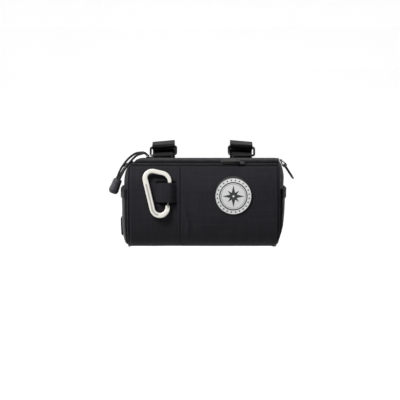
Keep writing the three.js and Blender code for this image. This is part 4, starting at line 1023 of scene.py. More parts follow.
def dring_parts(side):
    """The ring, a straight bar and a half circle, on its own body, and the loop that is sewn to the bag."""
    start, stop, eye = DRING_TAB_SHARES[side]
    room = DRING_TAB_ROOM + FIT + DRING_TAB_THICKNESS + DRING_WIRE / 2
    pivot_x, pivot_z = over_end(side, eye, room)
    half, corner = DRING_WIDTH / 2, DRING_CORNER
    stops = [[way * (half - corner), corner, corner, 1] for way in (-1, 1)]
    stops.append([0, DRING_REACH - half, half, 1])
    route = resampled(belt(stops, True), 110, True)
    out, down = OUTWARD[side] * sine(DRING_LEAN), -cosine(DRING_LEAN)
    x, z = OUTWARD[side] * pivot_x + out * route[:, 1], pivot_z + down * route[:, 1]
    path = np.stack([x, BAG_CENTRE + route[:, 0], z], -1)
    rings = wire_rings(path, np.array([down, 0, -out]), DRING_WIRE / 2)
    name = f"dring_{side}"
    wire = tube(f"{name}_wire", rings, closed=True, body=name, slot="black_metal", replaced=[name])
    middle = DRING_TAB_THICKNESS / 2
    low, high = DRING_TAB_ROOM + middle, DRING_TAB_ROOM + DRING_TAB_THICKNESS + LAYER_GAP + middle
    places = [(start, low), (stop, low), None, (stop, high), (start, high)]
    round_bar = (pivot_x, pivot_z, DRING_WIRE / 2 + FIT + middle, 1)
    loop = resampled(belt([(*over_end(side, *p), 0, 1) if p else round_bar for p in places]), 60)
    ends = (-DRING_TAB_WIDTH / 2, DRING_TAB_WIDTH / 2)
    y, x, z = np.moveaxis(band_rings(loop, loop, ends, DRING_TAB_WIDTH, DRING_TAB_THICKNESS, 13), -1, 0)
    rings = np.stack([OUTWARD[side] * x, BAG_CENTRE + y, z], -1)
    tab = tube(f"dring_loop_{side}", rings, slot="webbing", replaced=[f"dring_tab_{side}"])
    return wire, tab


for side in OUTWARD:
    wire, tab = dring_parts(side)
    painted(wire, black_metal)
    painted(tab, soft_webbing)
print("D-rings made")

# %% [markdown]
# ## Pockets on the ends
# Each end carries an open pocket of stretch cloth whose mouth is bound with gathered elastic. The pocket
# lies on the domed end and stands off most at the middle of its mouth. The elastic's gathers are a sine
# across its width.

# %% The end pockets, their hems and the webbing tab
END_POCKET = {"mouth": 0.36, "foot": -0.93, "side": 0.93, "room": 0.7, "bulge": 0.6}
HEM_HEIGHT, HEM_THICKNESS = 11.6, 1.1
POCKET_SLACK, GATHERS, GATHER_DEPTH, HEM_LINES, HEM_LINE_DEPTH = 0.25, 92, 0.22, 3, 0.2
SIDE_TAB = {"width": 24.0, "top": -0.335, "bottom": -0.75, "thickness": 1.8}
SIDE_TAB_BASE = END_POCKET["room"] + END_POCKET["bulge"] + CLOTH + FIT - 0.4


def pocket_room(share, across):
    """How far the pocket stands off its end: room, and a bulge that grows towards its mouth."""
    rise = np.clip((share - END_POCKET["foot"]) / (END_POCKET["mouth"] - END_POCKET["foot"]), 0, 1)
    return END_POCKET["room"] + END_POCKET["bulge"] * rise**0.6 * (1 - across**2)


def pocket_half(share):
    """Half of the pocket's width at a share of the height, from the superellipse."""
    return HALF_DEPTH * (1 - np.abs(share) ** BAG_ROUNDING) ** (1 / BAG_ROUNDING) * END_POCKET["side"]


def end_layer(side, heights, proud_of, **options):
    """A sheet over the end between some heights; proud_of says how far its two faces stand off the end."""
    across, share = np.meshgrid(np.linspace(-1, 1, 121), heights)
    half = pocket_half(share)
    y, z = across * half, share * HALF_HEIGHT
    edge = np.minimum((1 - np.abs(across)) * half, within(z, z.min(), z.max()))
    outer, inner = [on_end(side, y, z, proud) for proud in proud_of(share, across, edge)]
    return cloth(outer=outer, inner=inner, **options)


def pocket_faces(share, across, edge):
    """The pocket's outer and inner face: soft waves, and a rounded edge."""
    stand = pocket_room(share, across)
    soft = POCKET_SLACK * waves(across * 60, share * 120) * ease(edge / 4)
    return stand + CLOTH * (0.4 + 0.6 * hemmed(edge)) - soft, stand


def hem_faces(share, across, edge):
    """The hem's outer and inner face: gathers across the elastic and sunk lines along it."""
    base = pocket_room(share, across) + CLOTH + FIT
    gathers = GATHER_DEPTH * (np.sin(across * GATHERS) - 1) * ease(edge / 1.5)
    down = (share - END_POCKET["mouth"]) * HALF_HEIGHT * math.pi / HEM_HEIGHT
    lines = -HEM_LINE_DEPTH * np.sin(down * HEM_LINES) ** 8
    return base + HEM_THICKNESS * (0.3 + 0.7 * hemmed(edge, 1.2)) + gathers + lines, base


def side_tab():
    """A short flat webbing, sewn on its pocket along its upper and lower edges."""
    heights = np.linspace(SIDE_TAB["bottom"], SIDE_TAB["top"], 30)
    across, share = np.meshgrid(np.linspace(-0.5, 0.5, 25), heights)
    y, z = across * SIDE_TAB["width"], share * HALF_HEIGHT
    edge = np.minimum(SIDE_TAB["width"] / 2 - np.abs(y), within(z, z.min(), z.max()))
    outer = on_end("left", y, z, SIDE_TAB_BASE + SIDE_TAB["thickness"] * (0.5 + 0.5 * hemmed(edge, 0.7)))
    inner = on_end("left", y, z, SIDE_TAB_BASE)
    return cloth("end_tab", outer, inner, slot="webbing", replaced=["side_tab"])


hem_elastic = woven("hem_elastic", 0.02, 1.4, 0.15, 0.7, tint=(1.08, 1.0, 1.1), rib=True, mottle=0.35)
pocket_heights = np.linspace(END_POCKET["foot"], END_POCKET["mouth"], 70)
hem_heights = np.linspace(END_POCKET["mouth"] - HEM_HEIGHT / HALF_HEIGHT, END_POCKET["mouth"], 22)
for side in OUTWARD:
    pocket = {"name": f"end_pocket_cloth_{side}", "slot": "cloth", "replaced": [f"side_pocket_{side}"]}
    hem = {"name": f"gathered_hem_{side}", "slot": "webbing", "replaced": [f"hem_{side}"]}
    painted(end_layer(side, pocket_heights, pocket_faces, **pocket), layer_cloth)
    painted(end_layer(side, hem_heights, hem_faces, **hem), hem_elastic)
painted(side_tab(), soft_webbing)
print("end pockets made")

# %% [markdown]
# ## Zips
# A coil zip is two rows of nylon loops on woven tapes. Each loop shows as one small rounded tooth, and
# there are hundreds, so a tooth has a few dozen faces, made once and then set along the zip by adding
# arrays. The tape is a thin sheet that follows the barrel. The main zip is sunk level with the cloth, and
# the front one lies on it.


# %% Local axes on the barrel and copies along them
def barrel_axes(x, angle):
    """At each place on the barrel: its origin and three unit axes, along it, up round it and out of it."""
    x, angle = np.broadcast_arrays(np.asarray(x, float), np.asarray(angle, float))
    out_y, out_z = section_normal(angle)
    zero = np.zeros_like(out_y)
    rows = [(zero + 1, zero, zero), (zero, out_z, -out_y), (zero, out_y, out_z)]
    return barrel_point(x, angle), np.stack([np.stack(row, -1) for row in rows], -2)


def blob(half_sizes, rings=5, sides=8, roundness=0.7):
    """A closed rounded block round the origin: a ball, its coordinates raised to a power below one."""
    lat, lon = np.linspace(-90, 90, rings + 2)[1:-1, None], np.linspace(0, 360, sides, endpoint=False)
    ball = np.stack(np.broadcast_arrays(cosine(lat) * cosine(lon), cosine(lat) * sine(lon), sine(lat)), -1)
    places = np.concatenate([ball.reshape(-1, 3), [[0, 0, -1], [0, 0, 1]]])
    places = np.sign(places) * np.abs(places) ** roundness * half_sizes
    return places, pointing_out(places, capped_faces(rings, sides))


def copies(name, shape, origins, axes, **options):
    """One piece from many copies of a small shape: origin + the sum of local coordinates times axes."""
    places, faces = shape
    spread = origins[:, None] + np.einsum("pk,nkc->npc", places, axes)
    shift = np.arange(len(origins))[:, None, None] * len(places)
    spread_faces = [(block + shift).reshape(-1, block.shape[1]) for block in faces]
    return mesh_piece(name, spread, spread_faces, **options)


print("a stitch or tooth can now be copied along the bag")


# %% The two zips
ZIP_TAPE_WIDTH, ZIP_TAPE_THICKNESS = 7.4, 0.6
ZIP_COIL_WIDTH, ZIP_COIL_HEIGHT = 3.2, 1.6
TOOTH_PITCH, TOOTH_LEAN, TOOTH_LENGTH = 1.25, 0.16, 0.5
TAPE_RIDGE, TAPE_RIDGE_WIDTH = 0.22, 0.35
MAIN_ZIP_CENTRE = sum(MAIN_ZIP_ANGLES) / 2
MAIN_ZIP_SINK = 0.5 - CLOTH


def zip_parts(name, centre, floor, half, margin):
    """A tape as a thin bent sheet, and a row of teeth that lean by turns to each side, as a coil's do."""
    per_length = degrees_for(1, centre)
    start, end = seam_x("left", centre) + margin, seam_x("right", centre) - margin
    share, off = np.meshgrid(np.linspace(0, 1, 121), np.linspace(-half, half, 15))
    x, angle = start + (end - start) * share, centre + off * per_length
    ridge = TAPE_RIDGE * bell(np.abs(off), ZIP_COIL_WIDTH / 2 + 0.5, TAPE_RIDGE_WIDTH)
    outer, inner = [barrel_point(x, angle, floor + part) for part in (ZIP_TAPE_THICKNESS - 0.15 + ridge, 0)]
    tape = cloth(f"{name}_tape", outer, inner, slot="webbing", replaced=[name])
    count = int((end - start) / TOOTH_PITCH)
    tooth_x = start + TOOTH_PITCH * (np.arange(count) + 0.5)
    origins, axes = barrel_axes(tooth_x, centre)
    rise = (ZIP_COIL_HEIGHT + ZIP_TAPE_THICKNESS) / 2 + floor
    origins = origins + axes[:, 2] * rise
    lean = np.where(np.arange(count) % 2, TOOTH_LEAN, -TOOTH_LEAN)[:, None]
    axes[:, 1] += axes[:, 0] * lean
    half_height = (ZIP_COIL_HEIGHT - ZIP_TAPE_THICKNESS) / 2 + 0.1
    tooth = blob(np.array([TOOTH_LENGTH, ZIP_COIL_WIDTH / 2, half_height]), 3, 8, 0.6)
    teeth = copies(f"{name}_teeth", tooth, origins, axes, slot="webbing")
    painted(tape, zip_tape)
    painted(teeth, zip_teeth)
    print(f"{name}: {count} teeth")


zip_parts("front_zip", FRONT_ZIP_ANGLE, LAYER_BASE, ZIP_TAPE_WIDTH / 2, PIPING_DIAMETER / 2 + 2 * FIT)
MAIN_ZIP_HALF = (MAIN_ZIP_ANGLES[1] - MAIN_ZIP_ANGLES[0]) / 2 / degrees_for(1, MAIN_ZIP_CENTRE) - FIT
zip_parts("main_zip", MAIN_ZIP_CENTRE, MAIN_ZIP_SINK, MAIN_ZIP_HALF, 3 * FIT)
for name in ("front_slider", "main_slider"):
    painted(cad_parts[name], slider_metal)

# %% [markdown]
# ## The front zip's pull
# The pull is a soft moulded tab with a narrow neck that turns on the slider's pin, so it rides on its own
# body. It is a stack of rounded sections whose width follows a short table, with small grip ribs as a sine
# on its thickness.

# %% The front pull
FRONT_SLIDER_X = 44.5
PIN_ALONG = -1.6
PULL_LENGTH, PULL_WIDTH, PULL_NECK, PULL_NECK_WIDTH, PULL_THICKNESS = 21.0, 5.0, 4.0, 3.2, 2.4
PULL_ROUND, PULL_RIB, PULL_RIB_PITCH, PULL_RIBS = 1.2, 0.12, 0.9, 9.0
SLIDER_ROOF = 1.6
PIN_OVER_FLOOR = ZIP_COIL_HEIGHT + 2 * FIT + SLIDER_ROOF + PULL_THICKNESS / 2


def rounded_section(half_width, half_height, power=4, sides=28):
    """Superellipse sections, one a row: a = w |cos|^(2/n), b = h |sin|^(2/n), with the signs kept."""
    turn = np.linspace(0, 360, sides, endpoint=False)
    parts = ((half_width, cosine(turn)), (half_height, sine(turn)))
    return [half[:, None] * np.sign(part) * np.abs(part) ** (2 / power) for half, part in parts]


def front_pull():
    """Sections down the tab, crowded at its round ends: narrow at the neck, wide and ribbed below."""
    length = PULL_LENGTH + PULL_THICKNESS
    crowded = PULL_ROUND * np.linspace(0, 1, 12) ** 2
    straight = np.linspace(PULL_ROUND, length - PULL_ROUND, 60)
    t = np.concatenate([crowded[:-1], straight, (length - crowded)[-2::-1]])
    end_round = np.maximum(hemmed(within(t, 0, length), PULL_ROUND), 0.02)
    neck_to_tab = ease((t - PULL_NECK) / 2)
    half_width = (PULL_NECK_WIDTH + (PULL_WIDTH - PULL_NECK_WIDTH) * neck_to_tab) / 2 * end_round**0.6
    ribbed = ease((t - PULL_RIBS) / 2) * ease((length - 2 - t) / 2)
    ribs = PULL_RIB * np.sin(t * math.pi / PULL_RIB_PITCH) ** 2 * ribbed
    a, b = rounded_section(half_width, (PULL_THICKNESS / 2 - ribs) * end_round)
    origin, axes = barrel_axes(FRONT_SLIDER_X, FRONT_ZIP_ANGLE)
    along = (PIN_ALONG + PULL_THICKNESS / 2 - t)[:, None, None] * axes[0]
    rings = origin + along + a[..., None] * axes[1] + (LAYER_BASE + PIN_OVER_FLOOR + b[..., None]) * axes[2]
    return tube("soft_pull", rings, body="front_pull", slot="moulded", replaced=["front_pull"])


painted(front_pull(), pull_rubber)
print("front pull made")

# %% [markdown]
# ## The pull cord and its grip
# The main zip's slider is drawn by two strands of braided cord that end in a moulded grip. A cord is a tube
# along a smooth curve through its route. The braid is a relief on the tube itself: two families of spirals
# cross, and their sum lifts and lowers the surface. The grip is a profile turned round its axis, with
# shallow finger rings.

# %% The cords
CORD_DIAMETER = 2.8
MAIN_SLIDER_X = 24.5 - HALF_LENGTH
GRIP_LENGTH, GRIP_LEAN = 18.5, 22
GRIP_TOP = np.array([-103.4, -85.0, -24.5])
GRIP_DOWN = np.array([-sine(GRIP_LEAN), 0, -cosine(GRIP_LEAN)])
GRIP_ACROSS = np.array([cosine(GRIP_LEAN), 0, -sine(GRIP_LEAN)])
STRAND_SPREAD, STRAND_IN_GRIP, PIN_TO_STRAND = 3.6, 3, 0.6
BRAID_RATE, BRAID_RELIEF = 2.6, 0.07
STRAND_POINTS = 220
STRAND_ROUTES = {
    "front": [(-72, -59.5, 5.6), (-76, -66, 5.2), (-82, -73, 3), (-89, -79, -4), (-96, -83.5, -13.5)],
    "back": [(-72.3, -55.8, 6), (-77.5, -63, 6.6), (-84, -70.8, 5.2), (-92.5, -78, -1.5), (-100, -83, -12)],
}


def smooth_route(points, count):
    """Catmull-Rom: between two points, a cubic whose slopes come from the neighbours on both sides."""
    points = np.asarray(points, float)
    p = np.concatenate([2 * points[:1] - points[1:2], points, 2 * points[-1:] - points[-2:-1]])
    t = np.linspace(0, 1, 16, endpoint=False)[:, None]
    pieces = []
    for a, b, c, d in zip(p[:-3], p[1:-2], p[2:-1], p[3:]):
        square, cube = 2 * a - 5 * b + 4 * c - d, 3 * b - a - 3 * c + d
        pieces.append(0.5 * (2 * b + (c - a) * t + square * t**2 + cube * t**3))
    return resampled(np.concatenate([*pieces, points[-1:]]), count)


def strand_points(name, sign):
    """A strand's route: from the slider's pin through its table's points into the grip."""
    origin, axes = barrel_axes(MAIN_SLIDER_X, MAIN_ZIP_CENTRE)
    out = MAIN_ZIP_SINK + PIN_OVER_FLOOR + FIT
    shift = np.array([PIN_ALONG - PIN_TO_STRAND - 2 * FIT, -sign * (CORD_DIAMETER + FIT) / 2, out])
    end = GRIP_TOP - GRIP_DOWN * FIT + GRIP_ACROSS * sign * STRAND_SPREAD / 2
    before_end = end - STRAND_IN_GRIP * GRIP_DOWN
    return smooth_route([origin + shift @ axes, *STRAND_ROUTES[name], before_end, end], STRAND_POINTS)


def braided_strand(name, sign):
    """A tube whose rings stand square to the route, each set out by one level and one upward direction."""
    path = strand_points(name, sign)
    length = lengths_along(path)[-1]
    along, turn = np.linspace(0, length, len(path))[:, None], np.linspace(0, 360, 24, endpoint=False)
    twist = np.degrees(BRAID_RATE * along)
    spirals = sine(4 * turn + twist) * sine(4 * turn - twist)
    radius = CORD_DIAMETER / 2 - BRAID_RELIEF + BRAID_RELIEF * spirals
    heading = directions(path)
    level = np.cross(heading, [0, 0, 1.0])
    level /= np.linalg.norm(level, axis=1, keepdims=True)
    rings = path[:, None] + level[:, None] * (radius * cosine(turn))[..., None]
    rings += np.cross(level, heading)[:, None] * (radius * sine(turn))[..., None]
    piece = tube(f"cord_{name}", rings, slot="cord", replaced=[f"pull_cord_{name}"])
    print(f"cord {name}: {length:.1f} mm")
    return piece, path, length


def braid(name, level):
    """Braid: two crossing sets of diagonal threads on the tube's map, a painted highlight where they rise.
    """
    finish = Finish(name)
    u, v, _ = finish.place("UV")
    first, second = ((u * 0.9 + v) * BRAID_RATE).sin(), ((u * 0.9 - v) * BRAID_RATE).sin()
    top = (first * second) * 0.5 + 0.5
    fleck = finish.noise(0.9, 2.0, 0.6)
    share = top * 0.6 + (fleck - 0.5) * 0.5
    colour = finish.blend(share, grey(level * 0.5, BLUISH), grey(level * 1.8, BLUISH))
    finish.surface(base_color=colour, roughness=0.5 + (fleck - 0.5) * 0.2, specular_ior_level=0.35)
    finish.surface(normal=finish.bump(top, 0.12))
    return finish.material


print("cord helpers ready")


# %% The grip, and the cords that it ends
GRIP_PROFILE_DOWN = [0, 0.5, 1.3, 11.5, 14.4, 16.6, 17.9, 18.5]
GRIP_PROFILE_RADIUS = [4.3, 4.9, 5.25, 6.15, 6.2, 5.6, 4.4, 3.1]
GRIP_RINGS, GRIP_RING_PITCH, GRIP_RING_DEPTH = (5, 12.8), 2.6, 0.35
FLAT_END_ROWS = 8


def grip_piece():
    """A turned profile: its radius by its distance down, less three rings, spun round the grip's axis."""
    flat = FLAT_END_ROWS
    sides = np.linspace(0.0, GRIP_LENGTH, 90)[1:]
    down = np.concatenate([np.zeros(flat), sides, np.full(flat, GRIP_LENGTH)])
    outline = np.interp(down, GRIP_PROFILE_DOWN, GRIP_PROFILE_RADIUS)
    outline[flat:-flat] = smoothed(outline[flat:-flat], 3)
    outline[:flat] = outline[flat] * np.linspace(0.02, 0.97, flat)
    outline[-flat:] = outline[-flat - 1] * np.linspace(0.97, 0.02, flat)
    ringed = (down > GRIP_RINGS[0]) & (down < GRIP_RINGS[1])
    swing = np.sin(np.pi * (down - GRIP_RINGS[0]) / GRIP_RING_PITCH) ** 2
    outline = outline - GRIP_RING_DEPTH * ringed * swing
    turn = np.linspace(0, 360, 48, endpoint=False)[:, None]
    spin = GRIP_ACROSS * cosine(turn) + np.array([0, 1, 0]) * sine(turn)
    rings = GRIP_TOP + down[:, None, None] * GRIP_DOWN + outline[:, None, None] * spin
    return tube("cord_grip", rings, slot="moulded", replaced=["pull_grip"])


cord_braid = braid("cord_braid", 0.006)
grip = painted(grip_piece(), grip_rubber)
for name, sign in (("front", 1), ("back", -1)):
    strand, path, length = braided_strand(name, sign)
    painted(strand, cord_braid)
print("cords and grip made")

# %% [markdown]
# ## The carabiner
# An ivory carabiner hangs through the panel's slots. Its frame is one bar bent round a few circles, from
# the nose over the top and down the spine to the gate's hinge, so the belt's route serves again. The bar's
# section has wide round edges, a groove is pressed along its spine, and the gate is a loop of thin wire
# that turns in the frame.

# %% The carabiner's frame and gate
CARABINER_X, CARABINER_ANGLE, CARABINER_DROP, CARABINER_LIFT = -55.7, 19, 2.6, 5.4
CARABINER_THICKNESS, TONGUE_THICKNESS, TONGUE_SHARE = 4.4, 1.8, 0.93
CARABINER_BENDS = [
    (15.1, 11.8, 0, 1),
    (4.2, 13.6, 10.8, 1),
    (-5.9, 18.1, 8.6, 1),
    (3.2, -17.4, 9.1, 1),
    (12.6, -14.2, 0, 1),
]
WIDTH_ALONG, WIDTHS = [0, 0.12, 0.3, 0.44, 0.7, 0.86, 1], [4.2, 5.2, 5.2, 6.6, 6.4, 6.2, 5]
GROOVE = {"from": 0.43, "to": 0.84, "half": 0.95, "depth": 0.55, "end": 0.03, "side": 0.35}
TIP_ROUND, BODY_POWER, TONGUE_STEP = 1.4, 3.8, 0.02
GATE_WIRE, GATE_TIP_HALF, GATE_NOSE_GAP = 1.4, 0.9, 0.5
GATE_PIVOT = np.array([12.5, -16.4])
GATE_FOOT_HALF = TONGUE_THICKNESS / 2 + FIT + GATE_WIRE / 2


def carabiner_places(right, up, out):
    """Points on the plane that touches the barrel at the carabiner's angle, and out of that plane."""
    origin, axes = barrel_axes(CARABINER_X, CARABINER_ANGLE)
    local = np.stack(np.broadcast_arrays(right, up - CARABINER_DROP, out + CARABINER_LIFT), -1)
    return origin + local @ axes


def carabiner_frame():
    """A loft along the bent route: widths from the table, round ends, and a groove along the spine."""
    path = resampled(belt(CARABINER_BENDS, step=4), 210)
    along = np.linspace(0, 1, len(path))
    heading = directions(path)
    half = smoothed(np.interp(along, WIDTH_ALONG, WIDTHS) / 2, 6)
    thinned = (TONGUE_THICKNESS - CARABINER_THICKNESS) / 2 * ease((along - TONGUE_SHARE) / TONGUE_STEP)
    thick = CARABINER_THICKNESS / 2 + thinned
    to_tip = within(along, 0, 1) * lengths_along(path)[-1]
    tip_round = np.maximum(hemmed(to_tip, TIP_ROUND), math.sqrt(0.02))
    a, b = rounded_section(half * tip_round, thick * tip_round, BODY_POWER, 64)
    fade = ease((along - GROOVE["from"]) / GROOVE["end"]) * ease((GROOVE["to"] - along) / GROOVE["end"])
    in_groove = 1 - ease((np.abs(a) - GROOVE["half"]) / GROOVE["side"])
    b = b - np.sign(b) * GROOVE["depth"] * in_groove * fade[:, None]
    right = path[:, :1] - heading[:, 1:] * a
    up = path[:, 1:] + heading[:, :1] * a
    rings = carabiner_places(right, up, b)
    piece = tube("carabiner_body", rings, slot="carabiner", replaced=["carabiner_frame"])
    # The groove's faces are returned, to get a darker finish that is painted shade in the hollow.
    return piece, (in_groove * fade[:, None] > 0.5) & (np.abs(b) > 0.6)


def carabiner_gate():
    """A closed loop of wire, wide at its foot round the frame's tongue and pinched together at the nose."""
    nose = np.array(CARABINER_BENDS[0][:2])
    way = nose - GATE_PIVOT
    reach = np.linalg.norm(way) - GATE_WIRE / 2 - GATE_NOSE_GAP
    way = way / np.linalg.norm(way)
    bend = GATE_TIP_HALF
    foot = GATE_FOOT_HALF - bend
    stops = [(bend, foot, bend, -1), (reach - bend, 0, bend, -1), (bend, -foot, bend, -1)]
    route = resampled(belt(stops, True), 150, True)
    right, up = (GATE_PIVOT + way * route[:, :1]).T
    _, axes = barrel_axes(CARABINER_X, CARABINER_ANGLE)
    path, normal = carabiner_places(right, up, route[:, 1]), way[1] * axes[0] - way[0] * axes[1]
    rings = wire_rings(path, normal, GATE_WIRE / 2)
    options = {"body": "carabiner_gate", "slot": "carabiner", "replaced": ["carabiner_gate"]}
    return tube("gate_wire", rings, closed=True, **options)


IVORY = (1.0, 0.975, 0.9)
ivory_satin = plain("ivory_satin", 0.84, 0.4, 0.05, IVORY, 2.5, 0.02, coat=0.35, uneven=0.05)
# The groove's finish is the ivory at half brightness: painted shade in the pressed hollow along the spine.
groove_painted_shade = plain("groove_painted_shade", 0.42, 0.5, 0.1, (1.0, 0.99, 0.95), 1.2, 0.03, uneven=0.1)
gate_steel = plain("gate_steel", 0.62, 0.25, 0.9, IVORY, 1.5, 0.01, uneven=0.05)
carabiner_body, grooved = carabiner_frame()
painted(carabiner_body, ivory_satin).data.materials.append(groove_painted_shade)
groove_cells = (grooved & np.roll(grooved, -1, 1))[:-1].ravel()
choices = np.zeros(len(carabiner_body.data.polygons), np.int32)
choices[: len(groove_cells)] = groove_cells
carabiner_body.data.polygons.foreach_set("material_index", choices)
painted(carabiner_gate(), gate_steel)
print("carabiner made,", int(groove_cells.sum()), "faces in its groove")

# %% [markdown]
# ## The badge
# The front carries a round white badge of soft moulded rubber. Its ornament here is a plain one: a dark
# ring near the edge and an eight-pointed compass star. The star needs no picture: a diamond is the set of
# points where |p| / long + |q| / short is below one, and four of them, crossed and turned, make the star's
# eight points.

# %% The badge
PATCH_RADIUS, PATCH_THICKNESS, PATCH_X, PATCH_HEIGHT = 22.0, 1.2, 35.5, 10.7
LONG_POINTS, SHORT_POINTS = (13.2, 3.0), (9.6, 2.6)
BEADS, BEAD_CIRCLE, BEAD_AREA = 24, 19.1, 0.8
STAR_HUB, STAR_EYE, RIM_INK = 2.6, 1.3, 21.3
INK_RINGS = ((16.3, 0.7), (14.4, 0.2))
WHITE_LOW, WHITE_HIGH, INK = (0.6, 0.605, 0.6, 1), (0.7, 0.705, 0.7, 1), (0.03, 0.031, 0.034, 1)
BADGE_FIELD, BADGE_RIM, BADGE_RIM_PLACE, BADGE_RIM_WIDTH = 0.12, 0.25, 1.1, 0.55


def front_angle(height):
    """The angle on the front at a height above the barrel's axis, from the superellipse."""
    share = np.minimum(np.abs(height) / HALF_HEIGHT, 1)
    forward = HALF_DEPTH * (1 - share**BAG_ROUNDING) ** (1 / BAG_ROUNDING)
    return np.degrees(np.arctan2(height, forward))


def badge():
    """A disc in polar rows, laid on the pocket: a low round rim, and a flat field inside it."""
    shares = np.concatenate([np.linspace(0.004, 0.9, 50), np.linspace(0.91, 1, 22)])
    share, turn = np.meshgrid(shares, np.arange(0, 360, 2.5))
    reach = PATCH_RADIUS * share
    x, angle = PATCH_X + reach * cosine(turn), front_angle(PATCH_HEIGHT + reach * sine(turn))
    inwards = PATCH_RADIUS - reach
    top = PATCH_THICKNESS * (0.45 + 0.55 * hemmed(inwards, 0.8)) - BADGE_FIELD
    top = top + BADGE_RIM * bell(inwards, BADGE_RIM_PLACE, BADGE_RIM_WIDTH)
    base = ON_LAYER + POCKET_LOFT
    outer, inner = barrel_point(x, angle, base + top), barrel_point(x, angle, base)
    return cloth("round_badge", outer, inner, close_rows=True, slot="badge", replaced=["patch"])


def badge_finish():
    """White rubber with rings, |r - r0| < w, beads, and diamonds, |p| / long + |q| / short < 1."""
    finish = Finish("badge_rubber")
    x, _, z = finish.place()
    right, up = x - PATCH_X, z - (BAG_CENTRE + PATCH_HEIGHT)
    reach = (right * right + up * up) ** 0.5
    turn = finish.node("ShaderNodeMath", {"operation": "ARCTAN2"}, {0: up, 1: right}) / math.pi
    near, far = (right + up) * math.sqrt(0.5), (right - up) * math.sqrt(0.5)
    star = reach < STAR_HUB
    for p, q, long, short in ((right, up, *LONG_POINTS), (near, far, *SHORT_POINTS)):
        star = star.most((p.size() / short + q.size() / long) < 1.0)
        star = star.most((p.size() / long + q.size() / short) < 1.0)
    ink = (star * (reach > STAR_EYE)).most(reach > RIM_INK)
    for radius, half_width in INK_RINGS:
        ink = ink.most((reach - radius).size() < half_width)
    beside = ((turn * BEADS / 2).fraction() - 0.5).size() * 2 * math.pi / BEADS * BEAD_CIRCLE
    ink = ink.most(((reach - BEAD_CIRCLE) ** 2 + beside * beside) < BEAD_AREA)
    soil = finish.noise(6.0, 4.0, 0.6)
    colour = finish.blend(ink, finish.blend(soil, WHITE_LOW, WHITE_HIGH), INK)
    grain = finish.noise(0.7, 2.0, 0.6)
    normal = finish.bump(ink * 0.8 + grain * 0.15, 0.12)
    finish.surface(base_color=colour, roughness=0.5 + (soil - 0.5) * 0.1, normal=normal)
    return finish.material


painted(badge(), badge_finish())
print("badge made")

# %% [markdown]
# ## Stitching
# Stitches tell the eye how a bag is sewn. Each one is a small rounded thread end that dips into the cloth,
# so a seam is a row of blobs along a route, each turned to the route and sunk by a third. One function sets
# them along any route, given its points and the directions that point out of the cloth.

# %% Stitches
STITCH_LENGTH, STITCH_GAP, STITCH_RADIUS, STITCH_RISE = 2.3, 0.9, 0.22, 0.04
BOX_STITCH_ANGLES, ANCHOR_STITCH_ANGLE, END_STITCH_ANGLES = (171, 183), 99.5, (96, 282)
FLUSH, PROUD = 0.02, 0.1
SEAM_INSET, UPRIGHT_END, EDGE_INSET, ROW_END, SLOT_ROW_INSET = 2.2, 2, 2.4, 3, 1.4
BOX_STITCH_INSET, END_ROW_INSET, HEM_ROW_INSET, TAB_ROW_INSET, TAB_ROW_END = 2.5, 1.5, 0.04, 0.05, 1.5
STITCH = blob(np.array([STITCH_LENGTH / 2, STITCH_RADIUS, STITCH_RADIUS]), 5, 6, 0.8)


def seam_of(path, outs):
    """Origins and axes of the stitches on a route: along its tangent, out of the cloth, and across both."""
    count = max(2, int(lengths_along(path)[-1] / (STITCH_LENGTH + STITCH_GAP)))
    both = resampled(np.concatenate([path, outs], 1), 2 * count + 1)[1::2]
    spots, out = both[:, :3], both[:, 3:]
    out = out / np.linalg.norm(out, axis=1, keepdims=True)
    heading = directions(spots)
    across = np.cross(out, heading)
    lay = np.stack([heading, across, np.cross(heading, across)], 1)
    return spots + out * STITCH_RISE, lay


def on_barrel(x, angle, offset):
    """A route over the barrel and its outward directions, from arrays of x, angle and offset."""
    return barrel_point(x, angle, offset), barrel_point(x, angle, 1.0) - barrel_point(x, angle)


def box_route(left, right, low, high, offset, per=24):
    """Round a rectangle on the barrel and across it by both diagonals, as a bag maker's box stitch goes."""
    corners = [(left, low), (right, low), (right, high), (left, high), (left, low), (right, high)]
    routes = []
    for line in (corners, [(left, high), (right, low)]):
        points = resampled(np.array(line), per * len(line))
        routes.append(on_barrel(points[:, 0], points[:, 1], offset))
    return routes


def on_side(side, y, z, proud):
    """A route over an end and its outward directions."""
    y, z, proud = np.broadcast_arrays(np.asarray(y, float), np.asarray(z, float), proud)
    return on_end(side, y, z, proud), on_end(side, y, z, proud + 1) - on_end(side, y, z, proud)


def front_seams():
    """The vertical seam of the panel, the upper and lower edges of panel and pocket, and the two slots."""
    on_top = LAYER_TOP + PROUD
    upright = np.linspace(PANEL_ANGLES[0] + UPRIGHT_END, PANEL_ANGLES[1] - UPRIGHT_END, 60)
    seams = [on_barrel(PANEL_SEAM_X - SEAM_INSET, upright, on_top)]
    for angle in (PANEL_ANGLES[1] - EDGE_INSET, PANEL_ANGLES[0] + EDGE_INSET):
        start, end = along_bag(angle, np.array([0.0, 1.0]))
        seams.append(on_barrel(np.linspace(start + ROW_END, PANEL_SEAM_X - ROW_END, 60), angle, on_top))
        x = np.linspace(PANEL_SEAM_X + ROW_END, end - ROW_END, 60)
        stand = pocket_stand((x - PANEL_SEAM_X) / (end - PANEL_SEAM_X), np.full(60, angle), x)
        seams.append(on_barrel(x, angle, on_top + stand))
    for edge, way in zip(STRIP_ANGLES, (-1, 1)):
        angle = edge + way * degrees_for(SLOT_HEIGHT + SLOT_ROW_INSET, edge)
        seams.append(on_barrel(np.linspace(*STRIP_X, 40), angle, on_top + 0.25))
    return seams


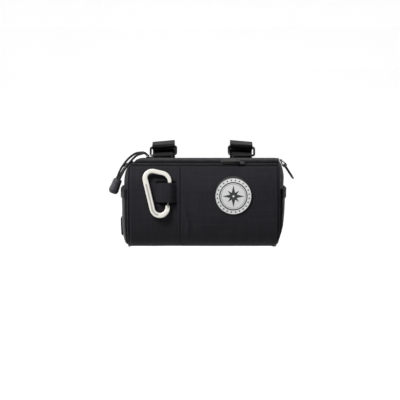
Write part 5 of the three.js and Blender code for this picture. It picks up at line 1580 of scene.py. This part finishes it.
def long_seams():
    """Rows along the whole bag: on the lip and on both sides of the main zip."""
    rows = [(LIP_ANGLES[0] + 4.5, LAYER_TOP + 0.15), (LIP_ANGLES[1] - 2, LAYER_TOP + PROUD)]
    rows += [(MAIN_ZIP_ANGLES[0] - 2, FLUSH), (MAIN_ZIP_ANGLES[1] + 2, FLUSH)]
    shares = np.linspace(0.01, 0.99, 100)
    return [on_barrel(along_bag(angle, shares), angle, offset) for angle, offset in rows]


def side_seams(side):
    """A strap's box stitch, a row on its anchor, one beside the binding, and two on the hem."""
    half, middle = STRAP_WIDTH / 2 - BOX_STITCH_INSET, strap_x(side)
    seams = box_route(middle - half, middle + half, *BOX_STITCH_ANGLES, FIT + STRAP_THICKNESS)
    anchor_x = middle + np.linspace(RING_CORNER - half, half - RING_CORNER, 20)
    seams.append(on_barrel(anchor_x, ANCHOR_STITCH_ANGLE, FIT + 2 * STRAP_THICKNESS + LAYER_GAP))
    angles = np.linspace(*END_STITCH_ANGLES, 160)
    x = seam_x(side, angles) - OUTWARD[side] * (PIPING_DIAMETER / 2 + END_ROW_INSET)
    seams.append(on_barrel(x, angles, FLUSH))
    across = np.linspace(-1, 1, 60)
    foot = END_POCKET["mouth"] - HEM_HEIGHT / HALF_HEIGHT
    for share in (END_POCKET["mouth"] - HEM_ROW_INSET, foot + HEM_ROW_INSET):
        proud = pocket_room(share, across) + CLOTH + FIT + HEM_THICKNESS - 0.15
        seams.append(on_side(side, across * (pocket_half(share) - ROW_END), share * HALF_HEIGHT, proud))
    return seams


seams = [*front_seams(), *long_seams(), *side_seams("left"), *side_seams("right")]
tab_y = np.linspace(TAB_ROW_END - SIDE_TAB["width"] / 2, SIDE_TAB["width"] / 2 - TAB_ROW_END, 20)
for share in (SIDE_TAB["top"] - TAB_ROW_INSET, SIDE_TAB["bottom"] + TAB_ROW_INSET):
    seams.append(on_side("left", tab_y, share * HALF_HEIGHT, SIDE_TAB_BASE + SIDE_TAB["thickness"]))

origins, axes = [np.concatenate(part) for part in zip(*[seam_of(*seam) for seam in seams])]
painted(copies("stitches", STITCH, origins, axes, slot="cord"), thread)
print("stitches:", len(origins))
